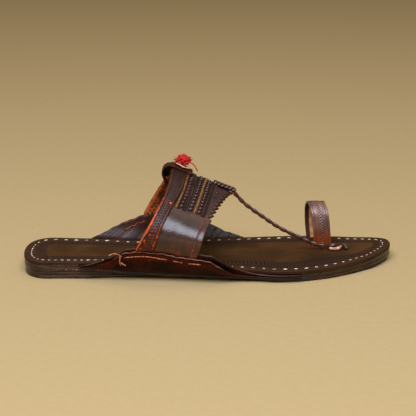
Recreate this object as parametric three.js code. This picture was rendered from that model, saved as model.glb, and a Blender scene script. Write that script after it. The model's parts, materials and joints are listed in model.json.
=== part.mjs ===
// A right-foot kolhapuri sandal: a stitched stack of leather soles, two flared ears, an arched
// instep band with its rear strap, a twisted thong and a big-toe loop.
// Millimetres, +Z up, +X towards the toe, +Y towards the inner (medial) side of the foot.
// Every form is worked out with the back of the heel at x = 0, and the finished group is then
// centred on its own box, standing on z = 0.
import * as THREE from 'three';
import { mergeVertices } from 'three/addons/utils/BufferGeometryUtils.js';

// ---- Driving dimensions -------------------------------------------------------------------
const SOLE_LENGTH = 280;
const HEEL_WIDTH = 67;
const GAP = 0.3;
const CURVED_GAP = 0.45;

const LATERAL = -1;
const MEDIAL = 1;

// Ends of the sole's outline: the heel is a blunt superellipse, the toe a round-shouldered point.
const HEEL_CENTRE_Y = 3;
const HEEL_ROUND_LENGTH = 22;
const HEEL_BLUNTNESS = 2.5;
const TOE_TIP_Y = 25;
const TOE_ROUND_LENGTH = 17;
const TOE_MEDIAL_POWER = 0.24;
const TOE_LATERAL_POWER = 0.65;

// The outline between the two rounded ends: distance of each edge from the heel's centre plane.
const OUTLINE = [
  { x: 22, medial: 36.5, lateral: -30.0 },
  { x: 45, medial: 34.7, lateral: -30.0 },
  { x: 72, medial: 34.6, lateral: -27.6 },
  { x: 105, medial: 40.8, lateral: -28.6 },
  { x: 139, medial: 47.8, lateral: -31.2 },
  { x: 170, medial: 53.6, lateral: -34.4 },
  { x: 192, medial: 57.0, lateral: -38.2 },
  { x: 209, medial: 58.0, lateral: -36.6 },
  { x: 225, medial: 56.3, lateral: -31.2 },
  { x: 241, medial: 53.4, lateral: -22.6 },
  { x: 263, medial: 47.5, lateral: -5.5 },
];

// Heights of the sole's leather layers above the floor, heel to toe.
const LAYERS = [
  { x: 0, outsoleBottom: 5.6, outsoleTop: 8.6, footbedBottom: 11.0, footbedTop: 13.2 },
  { x: 48, outsoleBottom: 5.6, outsoleTop: 8.6, footbedBottom: 10.9, footbedTop: 13.0 },
  { x: 62, outsoleBottom: 4.6, outsoleTop: 7.6, footbedBottom: 10.6, footbedTop: 12.7 },
  { x: 73, outsoleBottom: 3.0, outsoleTop: 6.0, footbedBottom: 9.7, footbedTop: 12.0 },
  { x: 84, outsoleBottom: 2.0, outsoleTop: 5.0, footbedBottom: 8.9, footbedTop: 11.3 },
  { x: 105, outsoleBottom: 1.3, outsoleTop: 4.2, footbedBottom: 8.1, footbedTop: 10.4 },
  { x: 130, outsoleBottom: 0.7, outsoleTop: 3.5, footbedBottom: 7.3, footbedTop: 9.5 },
  { x: 160, outsoleBottom: 0, outsoleTop: 2.9, footbedBottom: 6.6, footbedTop: 8.8 },
  { x: 190, outsoleBottom: 0, outsoleTop: 2.8, footbedBottom: 5.9, footbedTop: 8.4 },
  { x: 212, outsoleBottom: 0, outsoleTop: 2.8, footbedBottom: 5.9, footbedTop: 8.5 },
  { x: 250, outsoleBottom: 1.2, outsoleTop: 4.0, footbedBottom: 7.1, footbedTop: 9.6 },
  { x: 280, outsoleBottom: 3.5, outsoleTop: 6.2, footbedBottom: 9.3, footbedTop: 11.7 },
];

// The heel is built up by two lifts whose front end is pared away under the waist.
const LIFT_SPLIT = 2.5;
const LOWER_LIFT_END = 84;
const UPPER_LIFT_END = 68;
const LIFT_UNDERSIDE = [
  { x: 0, rise: 0 },
  { x: 62, rise: 0 },
  { x: 73, rise: 0.4 },
  { x: 84, rise: 1.1 },
];

const OUTSOLE_INSET = 0.4;
const MIDSOLE_INSET = 0.9;
const LIFT_INSET = 0.9;

// The foot's tunnel: the ridge of the instep band, which falls and drifts inwards to the toe.
const RIDGE_START_X = 109;
const RIDGE_START_Z = 76;
const RIDGE_SLOPE = -0.43;
const RIDGE_START_Y = 8;
const RIDGE_DRIFT = 0.08;
const RIDGE_REAR_LIMIT = 84;
const RIDGE_FRONT_LIMIT = 160;

// A side wall leaves the sole's edge through a short bend and then leans out, bulges and
// closes in to the ridge. `inward` is the share of the way to the ridge, `up` of its height.
const BEND_START = 1.4;
const BEND_RADIUS = 4;
const LEAN_FROM_VERTICAL = THREE.MathUtils.degToRad(38);
const BEND_STEPS = 6;
const ARCH_STEPS = 10;
const ARCH = [
  { inward: 0, up: 0 },
  { inward: -0.17, up: 0.17 },
  { inward: -0.23, up: 0.34 },
  { inward: -0.14, up: 0.52 },
  { inward: 0.26, up: 0.77 },
  { inward: 0.7, up: 0.95 },
  { inward: 1, up: 1 },
];

// Ears: how far each leaf reaches up the wall from the sole's edge, along the leather.
const EAR_ROOT_DEPTH = 12;
const ROOT_MARGIN = 1;
const EAR_SPREAD_START = 0.5;
const EAR_SPREAD_END = 6.5;
const EAR_STATIONS = 26;
const EAR_ROWS = 9;
// Rows crowd together up the ear, where it curves.
const EAR_ROW_POWER = 0.8;
const LATERAL_EAR = [
  { x: 44, outer: 1.5, lining: 1.5 },
  { x: 58, outer: 6.5, lining: 6.5 },
  { x: 70, outer: 14, lining: 14 },
  { x: 80, outer: 21.3, lining: 21.3 },
  { x: 94, outer: 22.6, lining: 22.8 },
  { x: 108, outer: 22, lining: 23 },
  { x: 122, outer: 20.6, lining: 22.8 },
  { x: 139, outer: 19.8, lining: 22 },
  { x: 150, outer: 13.5, lining: 16 },
  { x: 160, outer: 5.6, lining: 7.6 },
  { x: 176, outer: 2.4, lining: 2.8 },
  { x: 208, outer: 1.2, lining: 1.2 },
];
const MEDIAL_EAR = [
  { x: 44, outer: 1.5, lining: 1.5 },
  { x: 58, outer: 9.2, lining: 9.2 },
  { x: 74, outer: 19, lining: 19 },
  { x: 90, outer: 25, lining: 25 },
  { x: 108, outer: 27, lining: 27 },
  { x: 124, outer: 24, lining: 24 },
  { x: 141, outer: 16, lining: 16 },
  { x: 157, outer: 8, lining: 8 },
  { x: 166, outer: 4.5, lining: 4.5 },
  { x: 176, outer: 1.5, lining: 1.5 },
];
// The filler under the footbed stops short of the ears' roots, between these stations.
const FILLER_SETBACK = 14;
const LATERAL_EAR_ZONE = { start: 43.5, end: 208.5 };
const MEDIAL_EAR_ZONE = { start: 43.5, end: 176.5 };
const FILLER_STEP = 2;

// Instep band: one leather wall over the foot. `share` runs from its lower end to the ridge.
const BAND_THICKNESS = 2;
const BAND_START = 7;
const BAND_EDGES = [
  { share: 0, rearLateral: 80, rearMedial: 80, strapWidth: 13.5, front: 127 },
  { share: 0.2, rearLateral: 88, rearMedial: 89, strapWidth: 12.5, front: 132.8 },
  { share: 0.4, rearLateral: 98, rearMedial: 99, strapWidth: 9.5, front: 138.6 },
  { share: 0.55, rearLateral: 104, rearMedial: 104.2, strapWidth: 9, front: 143.5 },
  { share: 0.75, rearLateral: 109.4, rearMedial: 108.8, strapWidth: 10.5, front: 150.2 },
  { share: 1, rearLateral: 112.3, rearMedial: 112.3, strapWidth: 11, front: 158.5 },
];
const REAR_STRAP_THICKNESS = 1.5;
const STRAP_ABOVE_EAR = 1;

// Trim lying along the ridge: a keeper over the rear strap's crown, and a rolled strip in front.
const CROWN_LOOP = { rear: 110, front: 126, halfWidth: 4.5, thickness: 1.6 };
const RIDGE_STRIP = { rear: 143, front: 158, halfWidth: 2.4, thickness: 2 };
const POMPOM = { x: 120.5, y: 8.9, z: 81.9, length: 11.4, width: 10.5, height: 8, detail: 3 };

// Thong: a twisted leather cord from the band's front tip down between the first two toes.
const THONG_RADIUS = 1.6;
const THONG_ROUTE = [
  { x: 160.4, y: 12.2, z: 53.8 },
  { x: 166, y: 13, z: 47.6 },
  { x: 172, y: 13.5, z: 42.6 },
  { x: 180.4, y: 14.3, z: 36.3 },
  { x: 195, y: 15.5, z: 26.2 },
  { x: 212.3, y: 17, z: 17.4 },
  { x: 220.1, y: 17.6, z: 13.6 },
  { x: 228, y: 18.2, z: 11.2 },
];
const THONG_STEPS = { steps: 20, curveSegments: 4 };

// The stub's profile: share of its width out from the middle, share of its height.
const THONG_KNOT = { x: 239, y: 18.6, length: 12, width: 11, height: 4.4, segments: 14 };
const KNOT_PROFILE = [
  { out: 0, up: 0 },
  { out: 0.42, up: 0 },
  { out: 0.5, up: 0.3 },
  { out: 0.45, up: 0.7 },
  { out: 0.28, up: 0.95 },
  { out: 0, up: 1 },
];

// Toe loop: a strap over the big toe, leaning back as it rises and turned a little outwards.
const TOE_LOOP_WIDTH = 13.2;
const TOE_LOOP_THICKNESS = 1.8;
const TOE_LOOP_X = 227.9;
const TOE_LOOP_TURN = -0.2;
const TOE_LOOP_LEAN = -0.08;
const TOE_LOOP_ACROSS = 3;
const TOE_LOOP_STEPS = 5;
const TOE_LOOP_PATH = [
  { y: 28.6, height: -12 },
  { y: 28, height: 0 },
  { y: 27, height: 13 },
  { y: 30, height: 25.5 },
  { y: 39.3, height: 31.6 },
  { y: 48.6, height: 25.5 },
  { y: 51.6, height: 13 },
  { y: 50.6, height: 0 },
  { y: 50, height: -12 },
];

// ---- Tables and curves --------------------------------------------------------------------

// A monotone cubic through one column of a table.
function tableCurve(rows, key, column) {
  const at = rows.map((row) => row[key]);
  const value = rows.map((row) => row[column]);
  const slope = at.slice(1).map((end, i) => (value[i + 1] - value[i]) / (end - at[i]));
  const tangent = at.map((_, i) => {
    if (i === 0) return slope[0];
    if (i === at.length - 1) return slope[i - 1];
    if (slope[i - 1] * slope[i] <= 0) return 0;
    return 2 / (1 / slope[i - 1] + 1 / slope[i]);
  });
  return (x) => {
    const last = at.length - 2;
    const found = at.findIndex((end, i) => i > 0 && x <= end);
    const i = found < 0 ? last : found - 1;
    const width = at[i + 1] - at[i];
    const t = THREE.MathUtils.clamp((x - at[i]) / width, 0, 1);
    const t2 = t * t;
    const t3 = t2 * t;
    return (
      value[i] * (2 * t3 - 3 * t2 + 1) +
      value[i + 1] * (3 * t2 - 2 * t3) +
      width * (tangent[i] * (t3 - 2 * t2 + t) + tangent[i + 1] * (t3 - t2))
    );
  };
}

const medialOutline = tableCurve(OUTLINE, 'x', 'medial');
const lateralOutline = tableCurve(OUTLINE, 'x', 'lateral');
const outsoleBottom = tableCurve(LAYERS, 'x', 'outsoleBottom');
const outsoleTop = tableCurve(LAYERS, 'x', 'outsoleTop');
const footbedBottom = tableCurve(LAYERS, 'x', 'footbedBottom');
const footbedTop = tableCurve(LAYERS, 'x', 'footbedTop');
const liftUnderside = tableCurve(LIFT_UNDERSIDE, 'x', 'rise');
const bandRear = {
  [LATERAL]: tableCurve(BAND_EDGES, 'share', 'rearLateral'),
  [MEDIAL]: tableCurve(BAND_EDGES, 'share', 'rearMedial'),
};
const bandFront = tableCurve(BAND_EDGES, 'share', 'front');
const strapWidth = tableCurve(BAND_EDGES, 'share', 'strapWidth');

// The sole's edge on one side at a distance x from the back of the heel.
function edgeY(side, x) {
  const toeStart = SOLE_LENGTH - TOE_ROUND_LENGTH;
  if (x < HEEL_ROUND_LENGTH) {
    const back = 1 - Math.max(x, 0) / HEEL_ROUND_LENGTH;
    const share = (1 - back ** HEEL_BLUNTNESS) ** (1 / HEEL_BLUNTNESS);
    return HEEL_CENTRE_Y + side * (HEEL_WIDTH / 2) * share;
  }
  if (x > toeStart) {
    const left = Math.max(SOLE_LENGTH - x, 0) / TOE_ROUND_LENGTH;
    const power = side === MEDIAL ? TOE_MEDIAL_POWER : TOE_LATERAL_POWER;
    const reach = OUTLINE[OUTLINE.length - 1][side === MEDIAL ? 'medial' : 'lateral'] - TOE_TIP_Y;
    return TOE_TIP_Y + reach * left ** power;
  }
  return side === MEDIAL ? medialOutline(x) : lateralOutline(x);
}

// The same edge for a layer cut smaller all round by `inset`.
function insetEdgeY(side, x, inset) {
  const middle = SOLE_LENGTH / 2;
  const stretched = middle + (x - middle) * (middle / (middle - inset));
  const centre = stretched > middle ? TOE_TIP_Y : HEEL_CENTRE_Y;
  return centre + side * Math.max(side * (edgeY(side, stretched) - centre) - inset, 0);
}

// Points of a smooth curve through `knots`, led in and out by one extra knot at each end.
function throughKnots(knots, stepsPerSpan) {
  const points = [];
  for (let i = 1; i < knots.length - 2; i += 1) {
    const [a, b, c, d] = knots.slice(i - 1, i + 3);
    for (let step = 0; step < stepsPerSpan; step += 1) {
      const t = step / stepsPerSpan;
      const blend = (p0, p1, p2, p3) =>
        p1 + 0.5 * t * (p2 - p0 + t * (2 * p0 - 5 * p1 + 4 * p2 - p3 + t * (3 * (p1 - p2) + p3 - p0)));
      points.push(new THREE.Vector2(blend(a.x, b.x, c.x, d.x), blend(a.y, b.y, c.y, d.y)));
    }
  }
  points.push(knots[knots.length - 2].clone());
  return points;
}

// ---- The upper's wall ---------------------------------------------------------------------

function ridgePoint(x) {
  const along = THREE.MathUtils.clamp(x, RIDGE_REAR_LIMIT, RIDGE_FRONT_LIMIT) - RIDGE_START_X;
  return new THREE.Vector2(RIDGE_START_Y + RIDGE_DRIFT * along, RIDGE_START_Z + RIDGE_SLOPE * along);
}

// Mid-height of the slot between outsole and footbed, where the ears are rooted.
function rootLevel(x) {
  return (outsoleTop(x) + footbedBottom(x)) / 2;
}

// The wall's section at x as points (y, z) with their distance along the leather. Distance 0 is
// where the wall starts to bend up at the sole's edge; below 0 it lies flat inside the sole.
function wallSection(side, x) {
  const bendY = edgeY(side, x) + side * BEND_START;
  const level = rootLevel(x);
  const turn = Math.PI / 2 - LEAN_FROM_VERTICAL;
  const points = [new THREE.Vector2(bendY - side * (EAR_ROOT_DEPTH + ROOT_MARGIN), level)];
  for (let i = 0; i < BEND_STEPS; i += 1) {
    const angle = (turn * i) / BEND_STEPS;
    points.push(
      new THREE.Vector2(
        bendY + side * BEND_RADIUS * Math.sin(angle),
        level + BEND_RADIUS * (1 - Math.cos(angle)),
      ),
    );
  }
  const foot = new THREE.Vector2(
    bendY + side * BEND_RADIUS * Math.sin(turn),
    level + BEND_RADIUS * (1 - Math.cos(turn)),
  );
  const ridge = ridgePoint(x);
  const span = ridge.x - foot.x;
  const rise = ridge.y - foot.y;
  const knots = ARCH.map((row) => new THREE.Vector2(foot.x + row.inward * span, foot.y + row.up * rise));
  const lead = knots[1].distanceTo(knots[0]);
  const leanStep = new THREE.Vector2(
    -side * Math.sin(LEAN_FROM_VERTICAL) * lead,
    -Math.cos(LEAN_FROM_VERTICAL) * lead,
  );
  const mirrored = new THREE.Vector2(2 * ridge.x - knots[knots.length - 2].x, knots[knots.length - 2].y);
  points.push(...throughKnots([foot.clone().add(leanStep), ...knots, mirrored], ARCH_STEPS));
  const distance = [points[0].distanceTo(points[1]) * -1];
  for (let i = 1; i < points.length; i += 1) {
    distance.push(distance[i - 1] + points[i].distanceTo(points[i - 1]));
  }
  return { points, distance, length: distance[distance.length - 1] };
}

// A point of a section at a distance along the leather; past the ridge it comes down mirrored.
function sectionPoint(section, x, along) {
  const { points, distance, length } = section;
  if (along > length) {
    const mirrored = sectionPoint(section, x, 2 * length - along);
    mirrored.y = 2 * points[points.length - 1].x - mirrored.y;
    return mirrored;
  }
  const last = points.length - 2;
  const found = distance.findIndex((end, i) => i > 0 && along <= end);
  const i = found < 0 ? last : found - 1;
  const t = (along - distance[i]) / (distance[i + 1] - distance[i]);
  return new THREE.Vector3(
    x,
    THREE.MathUtils.lerp(points[i].x, points[i + 1].x, t),
    THREE.MathUtils.lerp(points[i].y, points[i + 1].y, t),
  );
}

// How far to either side of a point the wall's slope is measured.
const SLOPE_REACH = 1.5;

// A point of the wall, moved out from its middle surface by `offset`.
function wallPoint(side, x, along, offset) {
  const section = wallSection(side, x);
  const share = along / section.length;
  const beside = (step) => {
    const other = wallSection(side, x + step);
    return sectionPoint(other, x + step, share > 0 ? share * other.length : along);
  };
  const tangentX = beside(SLOPE_REACH).sub(beside(-SLOPE_REACH));
  const tangentUp = sectionPoint(section, x, along + SLOPE_REACH).sub(
    sectionPoint(section, x, along - SLOPE_REACH),
  );
  const normal = tangentX.cross(tangentUp).multiplyScalar(-side).normalize();
  return sectionPoint(section, x, along).addScaledVector(normal, offset);
}

// ---- Solids -------------------------------------------------------------------------------

// Closes a mesh of corner points and triangles: shared corners are merged and triangles that
// have shrunk to a line or a point are dropped.
function closedGeometry(corners, triangles) {
  const position = new Float32Array(triangles.flat().flatMap((index) => corners[index].toArray()));
  const loose = new THREE.BufferGeometry();
  loose.setAttribute('position', new THREE.BufferAttribute(position, 3));
  const merged = mergeVertices(loose, 1e-4);
  const index = merged.getIndex().array;
  const kept = [];
  for (let i = 0; i < index.length; i += 3) {
    const [a, b, c] = index.slice(i, i + 3);
    if (a !== b && b !== c && c !== a) kept.push(a, b, c);
  }
  merged.setIndex(kept);
  return merged;
}

// A sheet of leather: a grid of columns by rows with two faces and a rim. `point(u, v, face)`
// gives a corner for u and v from 0 to 1, with face 0 the underside and 1 the upper side.
function sheetGeometry(columns, rows, point) {
  const corners = [];
  const stride = rows.length;
  for (const face of [0, 1]) {
    for (const u of columns) {
      for (const v of rows) corners.push(point(u, v, face));
    }
  }
  const at = (i, j, face) => face * columns.length * stride + i * stride + j;
  const triangles = [];
  const quad = (a, b, c, d) => triangles.push([a, b, c], [a, c, d]);
  const lastColumn = columns.length - 1;
  const lastRow = stride - 1;
  for (let i = 0; i < lastColumn; i += 1) {
    for (let j = 0; j < lastRow; j += 1) {
      quad(at(i, j, 1), at(i + 1, j, 1), at(i + 1, j + 1, 1), at(i, j + 1, 1));
      quad(at(i, j, 0), at(i, j + 1, 0), at(i + 1, j + 1, 0), at(i + 1, j, 0));
    }
    quad(at(i, 0, 0), at(i + 1, 0, 0), at(i + 1, 0, 1), at(i, 0, 1));
    quad(at(i, lastRow, 1), at(i + 1, lastRow, 1), at(i + 1, lastRow, 0), at(i, lastRow, 0));
  }
  for (let j = 0; j < lastRow; j += 1) {
    quad(at(0, j, 0), at(0, j, 1), at(0, j + 1, 1), at(0, j + 1, 0));
    quad(at(lastColumn, j, 1), at(lastColumn, j, 0), at(lastColumn, j + 1, 0), at(lastColumn, j + 1, 1));
  }
  return outwards(closedGeometry(corners, triangles));
}

// Turns a closed mesh's faces outwards if its signed volume is negative.
function outwards(geometry) {
  const index = geometry.getIndex().array;
  const position = geometry.getAttribute('position');
  const [a, b, c] = [new THREE.Vector3(), new THREE.Vector3(), new THREE.Vector3()];
  let volume = 0;
  for (let i = 0; i < index.length; i += 3) {
    a.fromBufferAttribute(position, index[i]);
    b.fromBufferAttribute(position, index[i + 1]);
    c.fromBufferAttribute(position, index[i + 2]);
    volume += a.dot(b.cross(c));
  }
  if (volume > 0) return geometry;
  const flipped = [];
  for (let i = 0; i < index.length; i += 3) flipped.push(index[i], index[i + 2], index[i + 1]);
  geometry.setIndex(flipped);
  return geometry;
}

function evenSteps(count) {
  return Array.from({ length: count + 1 }, (_, i) => i / count);
}

// Stations along the sole, closer together at its rounded ends, with a few extra ones added.
function soleStations(start, end, count, extra = []) {
  const spread = evenSteps(count).map((u) => start + ((end - start) * (1 - Math.cos(Math.PI * u))) / 2);
  const inside = extra.filter((x) => x > start && x < end);
  return [...new Set([...spread, ...inside])].sort((a, b) => a - b);
}

function soleLayer(stations, inset, bottom, top) {
  return sheetGeometry(stations, [0, 0.5, 1], (x, v, face) => {
    const y = THREE.MathUtils.lerp(
      insetEdgeY(LATERAL, x, inset(LATERAL, x)),
      insetEdgeY(MEDIAL, x, inset(MEDIAL, x)),
      v,
    );
    return new THREE.Vector3(x, y, face ? top(x) : bottom(x));
  });
}

// ---- Sole ---------------------------------------------------------------------------------

const STATION_COUNT = 40;
const LIFT_STATIONS = 18;
const ZONE_END_STEPS = 4;

function lowerLift() {
  const bends = LIFT_UNDERSIDE.map((row) => row.x);
  const stations = soleStations(LIFT_INSET, LOWER_LIFT_END, LIFT_STATIONS, bends);
  const top = (x) => Math.min(LIFT_SPLIT, outsoleBottom(x) - GAP);
  return soleLayer(stations, () => LIFT_INSET, liftUnderside, top);
}

function upperLift() {
  const stations = soleStations(LIFT_INSET, UPPER_LIFT_END, LIFT_STATIONS);
  return soleLayer(stations, () => LIFT_INSET, () => LIFT_SPLIT + GAP, (x) => outsoleBottom(x) - GAP);
}

function outsole() {
  const extra = LAYERS.map((row) => row.x);
  const stations = soleStations(OUTSOLE_INSET, SOLE_LENGTH - OUTSOLE_INSET, STATION_COUNT, extra);
  return soleLayer(stations, () => OUTSOLE_INSET, outsoleBottom, outsoleTop);
}

// How far the filler stands back from the sole's edge: far where an ear is rooted beside it.
function fillerInset(side, x) {
  const zone = side === MEDIAL ? MEDIAL_EAR_ZONE : LATERAL_EAR_ZONE;
  const into = THREE.MathUtils.smoothstep(x, zone.start - FILLER_STEP, zone.start);
  const out = 1 - THREE.MathUtils.smoothstep(x, zone.end, zone.end + FILLER_STEP);
  return THREE.MathUtils.lerp(MIDSOLE_INSET, FILLER_SETBACK, Math.min(into, out));
}

function midsole() {
  const zoneEnds = [LATERAL_EAR_ZONE, MEDIAL_EAR_ZONE].flatMap(({ start, end }) => [
    ...evenSteps(ZONE_END_STEPS).map((u) => start - FILLER_STEP * (1 - u)),
    ...evenSteps(ZONE_END_STEPS).map((u) => end + FILLER_STEP * u),
  ]);
  const stations = soleStations(MIDSOLE_INSET, SOLE_LENGTH - MIDSOLE_INSET, STATION_COUNT, zoneEnds);
  return soleLayer(
    stations,
    fillerInset,
    (x) => outsoleTop(x) + GAP,
    (x) => footbedBottom(x) - GAP,
  );
}

function topSole() {
  const extra = LAYERS.map((row) => row.x);
  const stations = soleStations(0, SOLE_LENGTH, STATION_COUNT, extra);
  return soleLayer(stations, () => 0, footbedBottom, footbedTop);
}

// ---- Ears ---------------------------------------------------------------------------------

// One leaf of an ear: flat in the slot between the soles, then up the outside or the inside of
// the band. The two leaves part above the sole to take the band between them.
function earLeaf(side, table, column) {
  const reach = tableCurve(table, 'x', column);
  const isLining = column === 'lining';
  const start = table[0].x;
  const end = table[table.length - 1].x;
  const stations = soleStations(start, end, EAR_STATIONS);
  const leafThickness = (x) => (footbedBottom(x) - outsoleTop(x) - 3 * GAP) / 2;
  return sheetGeometry(stations, evenSteps(EAR_ROWS), (x, v, face) => {
    const along = THREE.MathUtils.lerp(-EAR_ROOT_DEPTH, reach(x), v ** EAR_ROW_POWER);
    const thick = leafThickness(x);
    const spread = THREE.MathUtils.smoothstep(along, EAR_SPREAD_START, EAR_SPREAD_END);
    const closest = THREE.MathUtils.lerp(GAP / 2, BAND_THICKNESS / 2 + CURVED_GAP, spread);
    const offset = closest + thick * face;
    return wallPoint(side, x, along, isLining ? -offset : offset);
  });
}

// ---- Upper --------------------------------------------------------------------------------

// A strip laid over the foot on the wall's surface. `share` is 0 at the band's lower end and 1
// at the ridge; `edges(side, share)` gives the strip's rear and front x, `startShare(side, u)`
// how far up it begins, and the two offsets its inner and outer face.
function overFoot([acrossSteps, overSteps], edges, startShare, innerOffset, outerOffset) {
  return sheetGeometry(evenSteps(acrossSteps), evenSteps(overSteps), (u, v, face) => {
    const side = v <= 0.5 ? LATERAL : MEDIAL;
    const share = THREE.MathUtils.lerp(startShare(side, u), 1, 1 - Math.abs(2 * v - 1));
    const x = THREE.MathUtils.lerp(...edges(side, share), u);
    const along = THREE.MathUtils.lerp(BAND_START, wallSection(side, x).length, share);
    return wallPoint(side, x, along, face ? outerOffset : innerOffset);
  });
}

// Grids of the band, the rear strap and the ridge trims: steps across, and over the foot.
const BAND_GRID = [9, 30];
const STRAP_GRID = [3, 30];
const RIDGE_GRID = [6, 8];
const START_PASSES = 5;

const STRAP_INNER = BAND_THICKNESS / 2 + CURVED_GAP;
const STRAP_OUTER = STRAP_INNER + REAR_STRAP_THICKNESS;

function instepBand() {
  const half = BAND_THICKNESS / 2;
  const edges = (side, share) => [bandRear[side](share), bandFront(share)];
  return overFoot(BAND_GRID, edges, () => 0, -half, half);
}

// The rear strap stands proud of the band and stops just above each ear's outer leaf.
function rearStrap() {
  const earReach = {
    [LATERAL]: tableCurve(LATERAL_EAR, 'x', 'outer'),
    [MEDIAL]: tableCurve(MEDIAL_EAR, 'x', 'outer'),
  };
  const edges = (side, share) => [bandRear[side](share), bandRear[side](share) + strapWidth(share)];
  const startShare = (side, u) => {
    let share = 0;
    for (let pass = 0; pass < START_PASSES; pass += 1) {
      const x = THREE.MathUtils.lerp(...edges(side, share), u);
      const along = earReach[side](x) + STRAP_ABOVE_EAR - BAND_START;
      share = along / (wallSection(side, x).length - BAND_START);
    }
    return share;
  };
  return overFoot(STRAP_GRID, edges, startShare, STRAP_INNER, STRAP_OUTER);
}

// A piece lying along the ridge, `halfWidth` down each side of it.
function alongRidge({ rear, front, halfWidth, thickness }, innerOffset) {
  return sheetGeometry(...RIDGE_GRID.map(evenSteps), (u, v, face) => {
    const side = v <= 0.5 ? LATERAL : MEDIAL;
    const x = THREE.MathUtils.lerp(rear, front, u);
    const along = wallSection(side, x).length - halfWidth * Math.abs(2 * v - 1);
    return wallPoint(side, x, along, innerOffset + thickness * face);
  });
}

function pompom() {
  const { x, y, z, length, width, height, detail } = POMPOM;
  const tuft = bare(new THREE.IcosahedronGeometry(0.5, detail));
  return tuft.scale(length, width, height).translate(x, y, z);
}

// ---- Thong and toe loop -------------------------------------------------------------------

// A library geometry with its shared corners merged, so that it is one closed mesh.
function bare(geometry) {
  geometry.deleteAttribute('normal');
  geometry.deleteAttribute('uv');
  return mergeVertices(geometry, 1e-4);
}

function thong() {
  const route = new THREE.CatmullRomCurve3(THONG_ROUTE.map(({ x, y, z }) => new THREE.Vector3(x, y, z)));
  const round = new THREE.Shape();
  round.absarc(0, 0, THONG_RADIUS, 0, 2 * Math.PI);
  const settings = { ...THONG_STEPS, bevelEnabled: false, extrudePath: route };
  return bare(new THREE.ExtrudeGeometry(round, settings));
}

// The leather stub that locks the thong's end on the footbed: a flat-bottomed cushion.
function thongKnot() {
  const { x, y, length, width, height, segments } = THONG_KNOT;
  const profile = KNOT_PROFILE.map(({ out, up }) => new THREE.Vector2(out, up));
  const dome = new THREE.LatheGeometry(profile, segments);
  const knot = bare(dome.rotateX(Math.PI / 2).scale(length, width, height));
  return outwards(knot.translate(x, y, footbedTop(x + length / 2) + GAP));
}

function toeLoop() {
  const level = footbedTop(TOE_LOOP_X + TOE_LOOP_WIDTH / 2) + GAP;
  const knots = TOE_LOOP_PATH.map(({ y, height }) => new THREE.Vector2(y, height));
  const path = throughKnots(knots, TOE_LOOP_STEPS);
  const last = path.length - 1;
  // Both ends stand upright on the footbed, so that they are cut level with it.
  const outward = (i) => {
    if (i === 0) return new THREE.Vector2(-1, 0);
    if (i === last) return new THREE.Vector2(1, 0);
    const along = path[i + 1].clone().sub(path[i - 1]);
    return new THREE.Vector2(-along.y, along.x).normalize();
  };
  return sheetGeometry(evenSteps(TOE_LOOP_ACROSS), evenSteps(last), (u, v, face) => {
    const i = Math.round(v * last);
    const offset = TOE_LOOP_THICKNESS * (face - 0.5);
    const at = path[i].clone().addScaledVector(outward(i), offset);
    const centre = TOE_LOOP_X + TOE_LOOP_TURN * (at.x - TOE_LOOP_PATH[1].y) + TOE_LOOP_LEAN * at.y;
    return new THREE.Vector3(centre + TOE_LOOP_WIDTH * (u - 0.5), at.x, level + at.y);
  });
}

// ---- Assembly -----------------------------------------------------------------------------

const LEATHER = {
  outsole: { color: 0x3a2a22, roughness: 0.75 },
  footbed: { color: 0x4a3a2a, roughness: 0.6 },
  upper: { color: 0x3b211a, roughness: 0.4 },
  ear: { color: 0x5a2616, roughness: 0.5 },
  thong: { color: 0x3a2620, roughness: 0.55 },
};

const sandal = new THREE.Group();

function addPiece(name, geometry, finish) {
  const material = new THREE.MeshStandardMaterial({ ...finish, metalness: 0 });
  const piece = new THREE.Mesh(geometry, material);
  piece.name = name;
  sandal.add(piece);
}

addPiece('heel_lift_lower', lowerLift(), LEATHER.outsole);
addPiece('heel_lift_upper', upperLift(), LEATHER.outsole);
addPiece('outsole', outsole(), LEATHER.outsole);
addPiece('midsole', midsole(), LEATHER.outsole);
addPiece('top_sole', topSole(), LEATHER.footbed);
addPiece('ear_lateral_outer', earLeaf(LATERAL, LATERAL_EAR, 'outer'), LEATHER.ear);
addPiece('ear_lateral_lining', earLeaf(LATERAL, LATERAL_EAR, 'lining'), LEATHER.ear);
addPiece('ear_medial_outer', earLeaf(MEDIAL, MEDIAL_EAR, 'outer'), LEATHER.ear);
addPiece('ear_medial_lining', earLeaf(MEDIAL, MEDIAL_EAR, 'lining'), LEATHER.ear);
addPiece('instep_band', instepBand(), LEATHER.upper);
addPiece('rear_strap', rearStrap(), LEATHER.upper);
addPiece('crown_loop', alongRidge(CROWN_LOOP, STRAP_OUTER + CURVED_GAP), LEATHER.upper);
addPiece('ridge_strip', alongRidge(RIDGE_STRIP, STRAP_INNER), LEATHER.upper);
addPiece('pompom', pompom(), { color: 0xb01818, roughness: 0.9 });
addPiece('toe_thong', thong(), LEATHER.thong);
addPiece('thong_knot', thongKnot(), LEATHER.ear);
addPiece('toe_loop', toeLoop(), LEATHER.upper);

// The sandal stands on the floor with the origin under the middle of its own box.
const middle = new THREE.Box3().setFromObject(sandal).getCenter(new THREE.Vector3());
sandal.position.set(-middle.x, -middle.y, 0);

export default sandal;
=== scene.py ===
"""A kolhapuri sandal for the right foot: its looks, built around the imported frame.

Lengths are millimetres with the back of the heel at x = 0, +X to the toe, +Y to the inner
(medial) side and the floor at z = 0. Every mesh is moved into the frame, in metres, as it is made.
"""
import json
import logging
import math
from dataclasses import dataclass, field
from enum import Enum
from typing import Callable, NamedTuple, Sequence

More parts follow.
